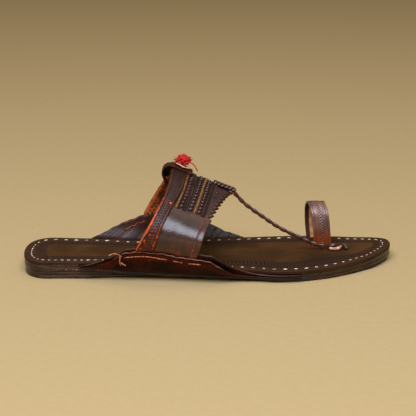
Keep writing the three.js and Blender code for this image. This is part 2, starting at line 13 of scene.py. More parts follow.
import bmesh
import bpy
import numpy as np
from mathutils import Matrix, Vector

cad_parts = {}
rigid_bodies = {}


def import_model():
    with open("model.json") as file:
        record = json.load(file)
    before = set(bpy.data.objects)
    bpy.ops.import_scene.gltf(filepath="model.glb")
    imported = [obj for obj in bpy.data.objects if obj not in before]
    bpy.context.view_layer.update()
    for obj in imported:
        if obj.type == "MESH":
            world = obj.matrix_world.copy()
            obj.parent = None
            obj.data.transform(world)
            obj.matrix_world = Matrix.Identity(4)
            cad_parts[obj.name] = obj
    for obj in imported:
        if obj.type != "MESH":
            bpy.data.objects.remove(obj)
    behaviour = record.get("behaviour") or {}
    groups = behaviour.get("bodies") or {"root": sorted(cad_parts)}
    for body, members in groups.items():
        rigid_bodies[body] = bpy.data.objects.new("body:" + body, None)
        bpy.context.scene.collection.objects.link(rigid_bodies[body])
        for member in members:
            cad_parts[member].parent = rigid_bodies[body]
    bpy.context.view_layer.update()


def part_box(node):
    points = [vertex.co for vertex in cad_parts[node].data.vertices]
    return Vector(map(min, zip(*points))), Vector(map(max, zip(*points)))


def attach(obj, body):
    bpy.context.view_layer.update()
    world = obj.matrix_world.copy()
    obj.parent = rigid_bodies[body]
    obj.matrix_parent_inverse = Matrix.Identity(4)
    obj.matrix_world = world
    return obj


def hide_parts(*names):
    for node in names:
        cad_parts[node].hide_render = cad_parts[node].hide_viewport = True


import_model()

LOG = logging.getLogger("kolhapuri")
MM = 0.001
BODY = "root"
# Spacing of the footbed border's slanted dents, and how far they lean across it.
SLASH_PITCH = 2.8
SLASH_SLANT = 1.7
# Centre of the wool tuft (x, y), which is also what the frame is lined up by.
TUFT_X = 120.5
TUFT_Y = 8.9
TURN = 2 * math.pi
Array = np.ndarray
Socket = bpy.types.NodeSocket
Curve = Callable[[Array], Array]
Marks = dict[str, Array]
Point = tuple[float, float, float]


class Side(Enum):
    """The two sides of a right foot, with the sign of y on each."""

    LATERAL = -1
    MEDIAL = 1


class Pattern(Enum):
    """What is worked into a leather beyond its own grain."""

    PLAIN = "plain"
    TOOLED_BORDER = "tooled border"
    STACKED_EDGE = "stacked edge"


# ---- The last: the sole's outline and levels, and the upper's wall ----------------------------


class OutlineRow(NamedTuple):
    """Where the sole's two edges run at a station."""

    x: float
    medial: float
    lateral: float


class LayerRow(NamedTuple):
    """Heights of the sole's layers at a station."""

    x: float
    outsole_bottom: float
    outsole_top: float
    footbed_bottom: float
    footbed_top: float


class ArchRow(NamedTuple):
    """A knot of the wall's arch: its share of the way in to the ridge and of the ridge's height."""

    inward: float
    up: float


class EarRow(NamedTuple):
    """How far an ear's two leaves reach up the wall at a station."""

    x: float
    outer: float
    lining: float


class BandRow(NamedTuple):
    """Edges of the instep band at a share of its way up to the ridge."""

    share: float
    rear_lateral: float
    rear_medial: float
    strap_width: float
    front: float


class Spot(NamedTuple):
    """A soft oval place on the footbed: its strength, centre and half sizes."""

    strength: float
    x: float
    length: float
    y: float
    width: float


class Fold(NamedTuple):
    """A soft fold: its depth, its place and its half width."""

    depth: float
    at: float
    width: float


def table(kind: type, *rows: tuple[float, ...]) -> tuple:
    """A table's rows with their columns named."""
    return tuple(kind(*row) for row in rows)


OUTLINE = table(
    OutlineRow,
    (22, 36.5, -30.0), (45, 34.7, -30.0), (72, 34.6, -27.6), (105, 40.8, -28.6), (139, 47.8, -31.2),
    (170, 53.6, -34.4), (192, 57.0, -38.2), (209, 58.0, -36.6), (225, 56.3, -31.2), (241, 53.4, -22.6),
    (263, 47.5, -5.5),
)
LAYERS = table(
    LayerRow,
    (0, 5.6, 8.6, 11.0, 13.2), (48, 5.6, 8.6, 10.9, 13.0), (62, 4.6, 7.6, 10.6, 12.7),
    (73, 3.0, 6.0, 9.7, 12.0), (84, 2.0, 5.0, 8.9, 11.3), (105, 1.3, 4.2, 8.1, 10.4),
    (130, 0.7, 3.5, 7.3, 9.5), (160, 0.0, 2.9, 6.6, 8.8), (190, 0.0, 2.8, 5.9, 8.4),
    (212, 0.0, 2.8, 5.9, 8.5), (250, 1.2, 4.0, 7.1, 9.6), (280, 3.5, 6.2, 9.3, 11.7),
)
ARCH = table(
    ArchRow, (0.0, 0.0), (-0.17, 0.17), (-0.23, 0.34), (-0.14, 0.52), (0.26, 0.77), (0.7, 0.95), (1.0, 1.0)
)
LATERAL_EAR = table(
    EarRow,
    (44, 1.5, 1.5), (58, 6.5, 6.5), (70, 14, 14), (80, 21.3, 21.3), (94, 22.6, 22.8), (108, 22, 23),
    (122, 20.6, 22.8), (139, 19.8, 22), (150, 13.5, 16), (160, 5.6, 7.6), (176, 2.4, 2.8), (208, 1.2, 1.2),
)
MEDIAL_EAR = table(
    EarRow,
    (44, 1.5, 1.5), (58, 9.2, 9.2), (74, 19, 19), (90, 25, 25), (108, 27, 27), (124, 24, 24),
    (141, 16, 16), (157, 8, 8), (166, 4.5, 4.5), (176, 1.5, 1.5),
)
BAND_EDGES = table(
    BandRow,
    (0.0, 80.0, 80.0, 13.5, 127.0), (0.2, 88.0, 89.0, 12.5, 132.8), (0.4, 98.0, 99.0, 9.5, 138.6),
    (0.55, 104.0, 104.2, 9.0, 143.5), (0.75, 109.4, 108.8, 10.5, 150.2), (1.0, 112.3, 112.3, 11.0, 158.5),
)


def table_curve(rows: Sequence[NamedTuple], key: str, column: str) -> Curve:
    """Makes a monotone cubic through one column of a table.

    Args:
        rows: The table's rows, in rising order of the key.
        key: The column that the curve is a function of.
        column: The column that the curve gives.

    Returns:
        A function from numbers or arrays of the key to the column.
    """
    at = np.array([getattr(row, key) for row in rows], float)
    value = np.array([getattr(row, column) for row in rows], float)
    slope = np.diff(value) / np.diff(at)
    tangent = np.zeros(len(at))
    tangent[0], tangent[-1] = slope[0], slope[-1]
    for i in range(1, len(at) - 1):
        if slope[i - 1] * slope[i] > 0:
            tangent[i] = 2 / (1 / slope[i - 1] + 1 / slope[i])

    def curve(x: Array) -> Array:
        """Reads the curve at x."""
        i = np.clip(np.searchsorted(at, x, side="left") - 1, 0, len(at) - 2)
        width = at[i + 1] - at[i]
        t = np.clip((x - at[i]) / width, 0, 1)
        return (
            value[i] * (2 * t**3 - 3 * t**2 + 1)
            + value[i + 1] * (3 * t**2 - 2 * t**3)
            + width * (tangent[i] * (t**3 - 2 * t**2 + t) + tangent[i + 1] * (t**3 - t**2))
        )

    return curve


def smooth(x: Array, low: float, high: float) -> Array:
    """A soft step from 0 at low to 1 at high."""
    t = np.clip((x - low) / (high - low), 0, 1)
    return t * t * (3 - 2 * t)


def bell(x: Array, centre: float, width: float) -> Array:
    """A bell curve of height 1 that has all but vanished two widths away."""
    return np.exp(-(((x - centre) / width) ** 2))


def spotted(spots: Sequence[Spot], x: Array, y: Array) -> Array:
    """How strongly some soft oval places are felt at places of the footbed."""
    return sum(spot.strength * bell(x, spot.x, spot.length) * bell(y, spot.y, spot.width) for spot in spots)


def folded(folds: Sequence[Fold], x: Array) -> Array:
    """How deep some soft folds are at places across them."""
    return sum(fold.depth * bell(x, fold.at, fold.width) for fold in folds)


def lerp(a: Array, b: Array, t: Array) -> Array:
    """The point a share t of the way from a to b."""
    return a + (b - a) * t


def unit(vectors: Array) -> Array:
    """Vectors brought to length 1."""
    return vectors / np.linalg.norm(vectors, axis=-1, keepdims=True)


def run_along(path: Array) -> Array:
    """The distance along a path at each of its points."""
    return np.concatenate([[0], np.cumsum(np.linalg.norm(np.diff(path, axis=0), axis=1))])


def through_knots(knots: Array, steps: int) -> Array:
    """Samples a smooth curve through knots.

    Args:
        knots: Knots in order, with one extra at each end that only leads the curve in and out.
        steps: Samples for each span.

    Returns:
        The samples, from the second knot to the last but one.
    """
    t = (np.arange(steps) / steps)[:, None]
    spans = [
        b + 0.5 * t * (c - a + t * (2 * a - 5 * b + 4 * c - d + t * (3 * (b - c) + d - a)))
        for a, b, c, d in zip(knots, knots[1:], knots[2:], knots[3:])
    ]
    return np.vstack([*spans, knots[-2:-1]])


@dataclass
class Last:
    """The form that the sandal is made on: its outline, levels and the ridge of its upper."""

    length: float = 280.0
    heel_width: float = 67.0
    heel_y: float = 3.0
    heel_round: float = 22.0
    heel_bluntness: float = 2.5
    toe_y: float = 25.0
    toe_round: float = 17.0
    toe_medial_power: float = 0.24
    toe_lateral_power: float = 0.65
    ridge_x: float = 109.0
    ridge_y: float = 8.0
    ridge_z: float = 76.0
    ridge_slope: float = -0.43
    ridge_drift: float = 0.08
    ridge_rear: float = 84.0
    ridge_front: float = 160.0
    bend_start: float = 1.4
    bend_radius: float = 4.0
    lean: float = math.radians(38)
    root_depth: float = 13.0

    def __post_init__(self) -> None:
        """Makes the curves of the tables."""
        self.medial, self.lateral = (table_curve(OUTLINE, "x", name) for name in OutlineRow._fields[1:])
        levels = (table_curve(LAYERS, "x", name) for name in LayerRow._fields[1:])
        self.outsole_bottom, self.outsole_top, self.footbed_bottom, self.footbed_top = levels

    def edge(self, side: Side, x: Array) -> Array:
        """The sole's edge (y) on one side at stations x."""
        x = np.asarray(x, float)
        middle = self.medial(x) if side is Side.MEDIAL else self.lateral(x)
        back = 1 - np.clip(x, 0, self.heel_round) / self.heel_round
        share = (1 - back**self.heel_bluntness) ** (1 / self.heel_bluntness)
        heel = self.heel_y + side.value * self.heel_width / 2 * share
        left = np.clip(self.length - x, 0, self.toe_round) / self.toe_round
        power = self.toe_medial_power if side is Side.MEDIAL else self.toe_lateral_power
        end = OUTLINE[-1].medial if side is Side.MEDIAL else OUTLINE[-1].lateral
        toe = self.toe_y + (end - self.toe_y) * left**power
        middle = np.where(x < self.heel_round, heel, middle)
        return np.where(x > self.length - self.toe_round, toe, middle)

    def inset_edge(self, side: Side, x: Array, inset: Array) -> Array:
        """The same edge for a layer that is cut smaller all round."""
        middle = self.length / 2
        stretched = middle + (x - middle) * (middle / (middle - inset))
        centre = np.where(stretched > middle, self.toe_y, self.heel_y)
        return centre + side.value * np.maximum(side.value * (self.edge(side, stretched) - centre) - inset, 0)

    def ridge(self, x: Array) -> tuple[Array, Array]:
        """The ridge of the upper (y, z) over stations x."""
        along = np.clip(x, self.ridge_rear, self.ridge_front) - self.ridge_x
        return self.ridge_y + self.ridge_drift * along, self.ridge_z + self.ridge_slope * along

    def section(self, side: Side, x: float) -> tuple[Array, Array]:
        """Works out the wall's section at a station.

        Args:
            side: Which side of the foot.
            x: The station.

        Returns:
            The points (y, z), and their distances along the leather, which are 0 where the wall
            starts to bend up at the sole's edge and negative inside the sole.
        """
        sign = side.value
        bend_y = float(self.edge(side, x)) + sign * self.bend_start
        level = float(self.outsole_top(x) + self.footbed_bottom(x)) / 2
        turn = math.pi / 2 - self.lean
        angle = np.linspace(0, turn, 13)
        out = sign * self.bend_radius * np.sin(angle)
        rise = self.bend_radius * (1 - np.cos(angle))
        bend = np.stack([bend_y + out, level + rise], 1)
        foot = bend[-1]
        span = np.array(self.ridge(x)) - foot
        knots = foot + np.array([[row.inward, row.up] for row in ARCH]) * span
        lead = np.linalg.norm(knots[1] - knots[0])
        before = foot - lead * np.array([sign * math.sin(self.lean), math.cos(self.lean)])
        after = np.array([2 * knots[-1][0] - knots[-2][0], knots[-2][1]])
        arch = through_knots(np.vstack([before, knots, after]), 10)
        root = np.array([[bend_y - sign * self.root_depth, level]])
        points = np.vstack([root, bend[:-1], arch])
        run = run_along(points)
        return points, run - run[1]


class Wall:
    """One side of the upper's middle surface, sampled once and then looked up.

    A place on it is a station x and a climb: -1 at the hidden root, 0 at the sole's edge and 1
    at the ridge.
    """

    FIRST, LAST_X, STEP = 34.0, 224.0, 1.0
    ROOT_SAMPLES, CLIMB_SAMPLES, PAST_RIDGE = 24, 260, 3

    def __init__(self, last: Last, side: Side) -> None:
        """Samples the wall on a grid of stations and climbs, with its outward normals."""
        self.last, self.side = last, side
        self.stations = np.arange(self.FIRST, self.LAST_X, self.STEP)
        root = np.linspace(-1, 0, self.ROOT_SAMPLES, endpoint=False)
        climb = np.linspace(0, 1, self.CLIMB_SAMPLES)
        self.climbs = np.concatenate([root, climb])
        grid, lengths = [], []
        for x in self.stations:
            points, distance = last.section(side, float(x))
            along = np.concatenate([root * last.root_depth, climb * distance[-1]])
            y = np.interp(along, distance, points[:, 0])
            z = np.interp(along, distance, points[:, 1])
            mirror = slice(-2, -2 - self.PAST_RIDGE, -1)
            y = np.concatenate([y, 2 * y[-1] - y[mirror]])
            z = np.concatenate([z, z[mirror]])
            grid.append(np.stack([np.full_like(y, x), y, z], 1))
            lengths.append(distance[-1])
        surface = np.array(grid)
        normal = unit(np.cross(np.gradient(surface, axis=0), np.gradient(surface, axis=1)) * -side.value)
        self.surface = surface[:, : -self.PAST_RIDGE]
        self.normals = normal[:, : -self.PAST_RIDGE]
        self.lengths = np.array(lengths)

    def length(self, x: Array) -> Array:
        """The leather's length from the sole's edge to the ridge at stations x."""
        return np.interp(x, self.stations, self.lengths)

    def look_up(self, grid: Array, x: Array, climb: Array) -> Array:
        """Reads a grid between its samples."""
        fx = np.clip((x - self.FIRST) / self.STEP, 0, len(self.stations) - 1.001)
        fc = np.clip(np.interp(climb, self.climbs, np.arange(len(self.climbs))), 0, len(self.climbs) - 1.001)
        i, j = fx.astype(int), fc.astype(int)
        u, v = (fx - i)[..., None], (fc - j)[..., None]
        near = grid[i, j] * (1 - v) + grid[i, j + 1] * v
        far = grid[i + 1, j] * (1 - v) + grid[i + 1, j + 1] * v
        return near * (1 - u) + far * u

    def place(self, x: Array, climb: Array, offset: Array) -> Array:
        """Points of the wall, moved out from its middle surface by an offset."""
        x, climb = np.broadcast_arrays(np.asarray(x, float), np.asarray(climb, float))
        normal = unit(self.look_up(self.normals, x, climb))
        return self.look_up(self.surface, x, climb) + normal * np.asarray(offset)[..., None]

    def climb_at(self, x: Array, along: Array) -> Array:
        """The climb at a distance along the leather."""
        return np.where(along < 0, along / self.last.root_depth, along / self.length(x))


LAST = Last()
WALLS = {side: Wall(LAST, side) for side in Side}


# ---- Meshes -----------------------------------------------------------------------------------


def seat_shift() -> Array:
    """The move from the last's origin to the frame's, in millimetres, from the tuft's box."""
    low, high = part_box("pompom")
    return np.array([(low.x + high.x) / 2 / MM - TUFT_X, (low.y + high.y) / 2 / MM - TUFT_Y, 0])


SHIFT = seat_shift()


def linked(name: str, data: bpy.types.ID) -> bpy.types.Object:
    """A new object in the scene."""
    made = bpy.data.objects.new(name, data)
    bpy.context.scene.collection.objects.link(made)
    return made


@dataclass
class Shape:
    """A mesh in the making: corners in millimetres, faces, and marks that its finish reads."""

    corners: Array
    faces: list[tuple[int, ...]]
    marks: Marks = field(default_factory=dict)

    def build(self, name: str, material: bpy.types.Material, weld: float = 0.0005) -> bpy.types.Object:
        """Makes the object.

        Args:
            name: The object's name.
            material: Its finish.
            weld: Corners nearer than this many millimetres become one.

        Returns:
            The object at the origin, smooth, closed and with its faces outwards.
        """
        mesh = bpy.data.meshes.new(name)
        mesh.from_pydata(((self.corners + SHIFT) * MM).tolist(), [], self.faces)
        for mark, values in self.marks.items():
            layer = mesh.attributes.new(mark, "FLOAT", "POINT")
            layer.data.foreach_set("value", np.asarray(values, np.float32).ravel())
        work = bmesh.new()
        work.from_mesh(mesh)
        bmesh.ops.remove_doubles(work, verts=work.verts, dist=weld * MM)
        bmesh.ops.dissolve_degenerate(work, edges=work.edges, dist=weld * MM / 4)
        bmesh.ops.recalc_face_normals(work, faces=work.faces)
        for face in work.faces:
            face.smooth = True
        work.to_mesh(mesh)
        work.free()
        mesh.materials.append(material)
        return linked(name, mesh)


def sheet(outer: Array, inner: Array, marks: dict[str, tuple[Array, Array]]) -> Shape:
    """Closes two grids of corners into a sheet of leather.

    Args:
        outer: The grain side, as stations by rows by 3.
        inner: The flesh side. It may have fewer rows where both ends close on a point.
        marks: For each mark, its values on the outer and the inner grid.

    Returns:
        The closed shape.
    """
    n, m = outer.shape[:2]
    k = inner.shape[1]
    start = n * m

    def quads(rows: int, base: int, flip: bool) -> list[tuple[int, ...]]:
        """The faces of one grid."""
        i, j = np.meshgrid(np.arange(n - 1), np.arange(rows - 1), indexing="ij")
        a = (base + i * rows + j).ravel()
        ring = np.stack([a, a + rows, a + rows + 1, a + 1], 1)
        return [tuple(face) for face in (ring[:, ::-1] if flip else ring).tolist()]

    faces = quads(m, 0, False) + quads(k, start, True)
    for i in range(n - 1):
        faces.append((i * m, start + i * k, start + (i + 1) * k, (i + 1) * m))
        top, low = i * m + m - 1, start + i * k + k - 1
        faces.append((top, top + m, low + k, low))
    if k == m:
        for j in range(m - 1):
            faces.append((j, j + 1, start + j + 1, start + j))
            last = (n - 1) * m + j
            faces.append((last, start + last, start + last + 1, last + 1))
    corners = np.vstack([outer.reshape(-1, 3), inner.reshape(-1, 3)])
    flat = {name: np.concatenate([a.ravel(), b.ravel()]) for name, (a, b) in marks.items()}
    return Shape(corners, faces, flat)


def path_frames(path: Array, up: Array) -> tuple[Array, Array, Array]:
    """Directions along a path.

    Args:
        path: Points of the path.
        up: The direction that the path's upper side should face, one or one for each point.

    Returns:
        Unit tangents, sideways directions and upward directions.
    """
    tangent = unit(np.gradient(path, axis=0))
    side = unit(np.cross(np.broadcast_to(up, path.shape), tangent))
    return tangent, side, np.cross(tangent, side)


def tube(path: Array, radius: Array, sides: int, up: Array, flat: float = 1.0) -> Shape:
    """A round or flattened cord along a path, closed at both ends.

    Args:
        path: Points of the path.
        radius: Its radius, one or one for each point.
        sides: Corners of its section.
        up: The direction that its upper side faces.
        flat: Its height as a share of its width.

    Returns:
        The shape, with the mark along in millimetres.
    """
    n = len(path)
    radius = np.broadcast_to(np.asarray(radius, float), (n,))
    tangent, side, over = path_frames(path, up)
    angle = np.linspace(0, TURN, sides, endpoint=False)
    ring = np.cos(angle)[None, :, None] * side[:, None] + flat * np.sin(angle)[None, :, None] * over[:, None]
    corners = (path[:, None] + ring * radius[:, None, None]).reshape(-1, 3)
    tips = np.array([path[0] - tangent[0] * radius[0] * 0.4, path[-1] + tangent[-1] * radius[-1] * 0.4])
    faces = [
        (i * sides + j, i * sides + (j + 1) % sides, (i + 1) * sides + (j + 1) % sides, (i + 1) * sides + j)
        for i in range(n - 1)
        for j in range(sides)
    ]
    first, last = n * sides, n * sides + 1
    faces += [(first, (j + 1) % sides, j) for j in range(sides)]
    faces += [(last, (n - 1) * sides + j, (n - 1) * sides + (j + 1) % sides) for j in range(sides)]
    run = run_along(path)
    along = np.concatenate([np.repeat(run, sides), [run[0], run[-1]]])
    return Shape(np.vstack([corners, tips]), faces, {"along": along})


def joined(shapes: Sequence[Shape]) -> Shape:
    """Several shapes as one, with the marks that one lacks set to 0."""
    corners = [len(shape.corners) for shape in shapes]
    starts = np.cumsum([0, *corners]).tolist()
    marks = {
        name: np.concatenate([shape.marks.get(name, np.zeros(n)) for shape, n in zip(shapes, corners)])
        for name in sorted({name for shape in shapes for name in shape.marks})
    }
    faces = [tuple(i + start for i in face) for shape, start in zip(shapes, starts) for face in shape.faces]
    return Shape(np.vstack([shape.corners for shape in shapes]), faces, marks)


def side_by_side(outer: Sequence[Marks], inner: Sequence[Marks]) -> dict[str, tuple[Array, Array]]:
    """The marks of a sheet whose two grids are each made in two parts."""
    return {
        name: tuple(np.concatenate([part[name] for part in parts], 1) for parts in (outer, inner))
        for name in outer[0]
    }


def edge_steps(length: float, radius: float, step: float) -> Array:
    """Shares of a width, close together over its two rounded edges.

    Args:
        length: The whole width.
        radius: The radius of its edges.
        step: The spacing between them.

    Returns:
        Shares from 0 to 1.
    """
    lip = radius * (1 - np.cos(np.linspace(0, math.pi / 2, 5)))
    middle = np.linspace(radius, length - radius, max(int((length - 2 * radius) / step), 2) + 1)
    return np.concatenate([lip[:-1], middle, length - lip[:-1][::-1]]) / length


def eased(distance: Array, radius: Array) -> Array:
    """How far a rounded edge falls away at a distance from it."""
    into = np.clip(radius - distance, 0, radius)
    return radius - np.sqrt(np.maximum(radius**2 - into**2, 0))


def ripple(x: Array, y: Array, size: float, seed: int) -> Array:
    """A fixed smooth unevenness between about -1 and 1, of waves a size across."""
    turns = np.random.default_rng(seed).uniform(0, TURN, (4, 2))
    total = np.zeros(np.broadcast(x, y).shape)
    for turn, phase in turns:
        total = total + np.sin((x * math.cos(turn) + y * math.sin(turn)) / size * TURN + phase)
    return total / 2.4


# ---- Materials --------------------------------------------------------------------------------


def linear(colour: str) -> tuple[float, float, float, float]:
    """Turns an sRGB hex colour to linear red, green, blue and alpha."""
    channels = [int(colour[i : i + 2], 16) / 255 for i in (1, 3, 5)]
    return (*[c / 12.92 if c <= 0.04045 else ((c + 0.055) / 1.055) ** 2.4 for c in channels], 1.0)


@dataclass(frozen=True)
class Nodes:
    """A node tree, with one way to add a node and short ways to add the usual ones."""

    tree: bpy.types.NodeTree

    def feed(self, node: bpy.types.Node, inputs: dict) -> None:
        """Links sockets to a node's inputs or sets their values, by name or number."""
        for key, value in inputs.items():
            if isinstance(value, Socket):
                self.tree.links.new(value, node.inputs[key])
            else:
                node.inputs[key].default_value = value

    def add(self, kind: str, inputs: dict | None = None, **settings: object) -> bpy.types.Node:
        """Adds a node.

        Args:
            kind: The node's type.
            inputs: What feeds its inputs.
            **settings: Properties of the node itself.

        Returns:
            The node.
        """
        made = self.tree.nodes.new(kind)
        for name, value in settings.items():
            setattr(made, name, value)
        self.feed(made, inputs or {})
        return made

    def out(self, kind: str, inputs: dict | None = None, output: int | str = 0, **settings: object) -> Socket:
        """One output, by name or number, of a node that is added."""
        return self.add(kind, inputs, **settings).outputs[output]

    def math(self, operation: str, *values: object) -> Socket:
        """The result of a Math node on sockets and numbers."""
        return self.out("ShaderNodeMath", dict(enumerate(values)), operation=operation)

    def step(self, value: Socket, low: float, high: float) -> Socket:
        """A soft step of a socket from 0 at low to 1 at high."""
        inputs = {"Value": value, "From Min": low, "From Max": high}
        return self.out("ShaderNodeMapRange", inputs, "Result", interpolation_type="SMOOTHSTEP")

    def mix(self, factor: object, first: object, second: object, blend: str = "MIX") -> Socket:
        """Two colours mixed by a factor."""
        inputs = {0: factor, 6: first, 7: second}
        return self.out("ShaderNodeMix", inputs, 2, data_type="RGBA", blend_type=blend)

    def noise(self, coords: Socket, size_mm: float, detail: float) -> Socket:
        """Noise whose lumps are a size in millimetres across."""
        inputs = {"Vector": coords, "Scale": 1 / (size_mm * MM), "Detail": detail}
        return self.out("ShaderNodeTexNoise", inputs, "Fac")

    def swing(self, noise: Socket, reach: float, middle: object) -> Socket:
        """Noise made to swing about a middle."""
        return self.math("MULTIPLY_ADD", self.math("SUBTRACT", noise, 0.5), reach, middle)

    def mark(self, name: str) -> Socket:
        """A mark of the mesh, as a number."""
        return self.out("ShaderNodeAttribute", output="Fac", attribute_name=name)


def new_material(name: str) -> tuple[bpy.types.Material, Nodes, bpy.types.Node]:
    """An empty material with a principled shader on its output."""
    material = bpy.data.materials.new(name)
    material.use_nodes = True
    nodes = Nodes(material.node_tree)
    nodes.tree.nodes.clear()
    shader = nodes.add("ShaderNodeBsdfPrincipled")
    nodes.add("ShaderNodeOutputMaterial", {"Surface": shader.outputs[0]})
    return material, nodes, shader


@dataclass(frozen=True)
class Leather:
    """Bark-tanned buffalo leather, oiled and rubbed: dark, uneven, redder and brighter where worn.

    Its marks say where it is scuffed to its pale core (wear), rubbed red (rub), pressed dark with
    tooling and darkened as painted shade (the tooling-and-shade mark), cut or split open to its raw side
    (flesh), and without gloss (dull).
    """

    name: str
    base: str
    shade: str
    rub: str = "#5c2412"
    worn: str = "#b5532a"
    # Dark pressed colour: for tooled marks, and for painted shade in gaps and under folds.
    pressed: str = "#160c08"
    flesh: str = "#9c6134"
    flesh_dark: str = "#5f3413"
    roughness: float = 0.42
    coat: float = 0.15
    coat_roughness: float = 0.3
    grain_mm: float = 0.9
    grain_depth_mm: float = 0.05
    fine_mm: float = 1.7
    fine_depth_mm: float = 0.12
    patch_mm: float = 4.5
    blotch_mm: float = 14.0
    matt_roughness: float = 0.82
    specular: float = 0.5
    pattern: Pattern = Pattern.PLAIN

    def build(self) -> bpy.types.Material:
        """Makes the material."""
        material, nodes, shader = new_material(self.name)
        coords = nodes.out("ShaderNodeTexCoord", output="Object")
        blotch = nodes.noise(coords, self.blotch_mm, 4)
        fine = nodes.noise(coords, self.fine_mm, 5)
        patchy = nodes.noise(coords, self.patch_mm, 4)
        colour = nodes.mix(nodes.step(blotch, 0.36, 0.66), linear(self.base), linear(self.shade))
        rubbed = nodes.step(nodes.swing(patchy, 1.1, nodes.mark("rub")), 0.25, 0.95)
        colour = nodes.mix(rubbed, colour, linear(self.rub))
        worn = nodes.step(nodes.swing(fine, 1.2, nodes.mark("wear")), 0.34, 0.9)
        colour = nodes.mix(worn, colour, linear(self.worn))
        pores = nodes.out(
            "ShaderNodeTexVoronoi", {"Vector": coords, "Scale": 1 / (self.grain_mm * MM)}, "Distance",
            feature="SMOOTH_F1",
        )
        heights = [(pores, self.grain_depth_mm), (fine, self.fine_depth_mm)]
        if self.pattern is Pattern.TOOLED_BORDER:
            colour, pressed = self.tooled_border(nodes, colour)
            heights.append((pressed, -0.15))
        if self.pattern is Pattern.STACKED_EDGE:
            colour, fibres = self.stacked_edge(nodes, coords, colour)
            heights.append((fibres, 0.25))
        # Tooled marks and painted shade both darken the colour towards the pressed colour.
        colour = nodes.mix(nodes.math("MULTIPLY", nodes.mark("tool"), 0.8), colour, linear(self.pressed))
        raw = nodes.mix(nodes.step(patchy, 0.35, 0.68), linear(self.flesh), linear(self.flesh_dark))
        # Laid over itself, the raw side gains contrast like a nap's.
        nap = nodes.mix(0.35, raw, raw, "OVERLAY")
        flesh = nodes.step(nodes.mark("flesh"), 0.2, 0.8)
        colour = nodes.mix(flesh, colour, nap)
        gloss = nodes.swing(patchy, 0.28, self.roughness)
        gloss = nodes.math("ADD", gloss, nodes.math("MULTIPLY", worn, 0.14))
        matt = nodes.math("MAXIMUM", flesh, nodes.mark("dull"))
        rough = nodes.out("ShaderNodeMix", {0: matt, 2: gloss, 3: self.matt_roughness}, data_type="FLOAT")
        coat = nodes.math("MULTIPLY", nodes.math("SUBTRACT", 1.0, matt), self.coat)
        parts = [nodes.math("MULTIPLY", part, depth * MM) for part, depth in heights]
        total = parts[0]
        for part in parts[1:]:
            total = nodes.math("ADD", total, part)
        bump = nodes.out("ShaderNodeBump", {"Height": total, "Distance": 1.0, "Strength": 1.0})
        nodes.feed(shader, {
            "Base Color": colour, "Roughness": rough, "Coat Weight": coat, "Normal": bump,
            "Specular IOR Level": self.specular, "Coat Roughness": self.coat_roughness, "IOR": 1.5,
        })
        return material

    def tooled_border(self, nodes: Nodes, colour: Socket) -> tuple[Socket, Socket]:
        """Two rows of slanted dents round the footbed, between its stitches and its smooth middle.

        Args:
            nodes: The material's tree.
            colour: The colour so far.

        Returns:
            The colour with the border's own, and how deep the dents are pressed.
        """
        border = nodes.mark("border")
        half = nodes.math("ABSOLUTE", nodes.math("SUBTRACT", border, 0.5))
        turns = nodes.math("DIVIDE", nodes.mark("run"), SLASH_PITCH)
        wave = nodes.math("PINGPONG", nodes.math("MULTIPLY_ADD", half, SLASH_SLANT, turns), 0.5)
        rows = nodes.math("MULTIPLY", nodes.step(border, 0.02, 0.1), nodes.step(border, 0.98, 0.9))
        rows = nodes.math("MULTIPLY", rows, nodes.step(half, 0.0, 0.07))
        pressed = nodes.math("MULTIPLY", nodes.step(wave, 0.24, 0.38), rows)
        outside = nodes.math("SUBTRACT", 1.0, nodes.step(border, 0.9, 1.12))
        colour = nodes.mix(nodes.math("MULTIPLY", outside, 0.8), colour, linear("#38251a"))
        return nodes.mix(nodes.math("MULTIPLY", pressed, 0.85), colour, linear("#0a0503")), pressed

    def stacked_edge(self, nodes: Nodes, coords: Socket, colour: Socket) -> tuple[Socket, Socket]:
        """Fibres that run level round a cut and burnished edge.

        Args:
            nodes: The material's tree.
            coords: Object coordinates.
            colour: The colour so far.

        Returns:
            The streaked colour, and the height of the fibres.
        """
        squeeze = nodes.out("ShaderNodeMapping", {"Vector": coords, "Scale": (0.09, 0.09, 1.0)})
        fibres = nodes.noise(squeeze, 0.9, 5)
        streaks = nodes.noise(squeeze, 2.2, 3)
        colour = nodes.mix(nodes.step(streaks, 0.52, 0.75), colour, linear("#54382a"))
        return nodes.mix(nodes.step(fibres, 0.55, 0.4), colour, linear("#150b06")), fibres


@dataclass(frozen=True)
class Yarn:
    """Spun fibre: matt and soft, with a twist that shows as slanting light and dark."""

    name: str
    base: str
    shade: str
    roughness: float = 0.8
    sheen: float = 0.4
    ply_mm: float = 0.8
    soil_mm: float = 2.0
    metallic: float = 0.0

    def build(self) -> bpy.types.Material:
        """Makes the material."""
        material, nodes, shader = new_material(self.name)
        coords = nodes.out("ShaderNodeTexCoord", output="Object")
        lumps = nodes.noise(coords, self.soil_mm, 3)
        fibre = nodes.noise(coords, self.ply_mm * 0.5, 4)
        nodes.feed(shader, {
            "Base Color": nodes.mix(nodes.step(lumps, 0.35, 0.68), linear(self.base), linear(self.shade)),
            "Metallic": self.metallic, "Sheen Weight": self.sheen, "Sheen Roughness": 0.5,
            "Roughness": nodes.swing(fibre, 0.2, self.roughness),
            "Normal": nodes.out("ShaderNodeBump", {"Height": fibre, "Distance": 0.25 * MM, "Strength": 0.8}),
        })
        return material


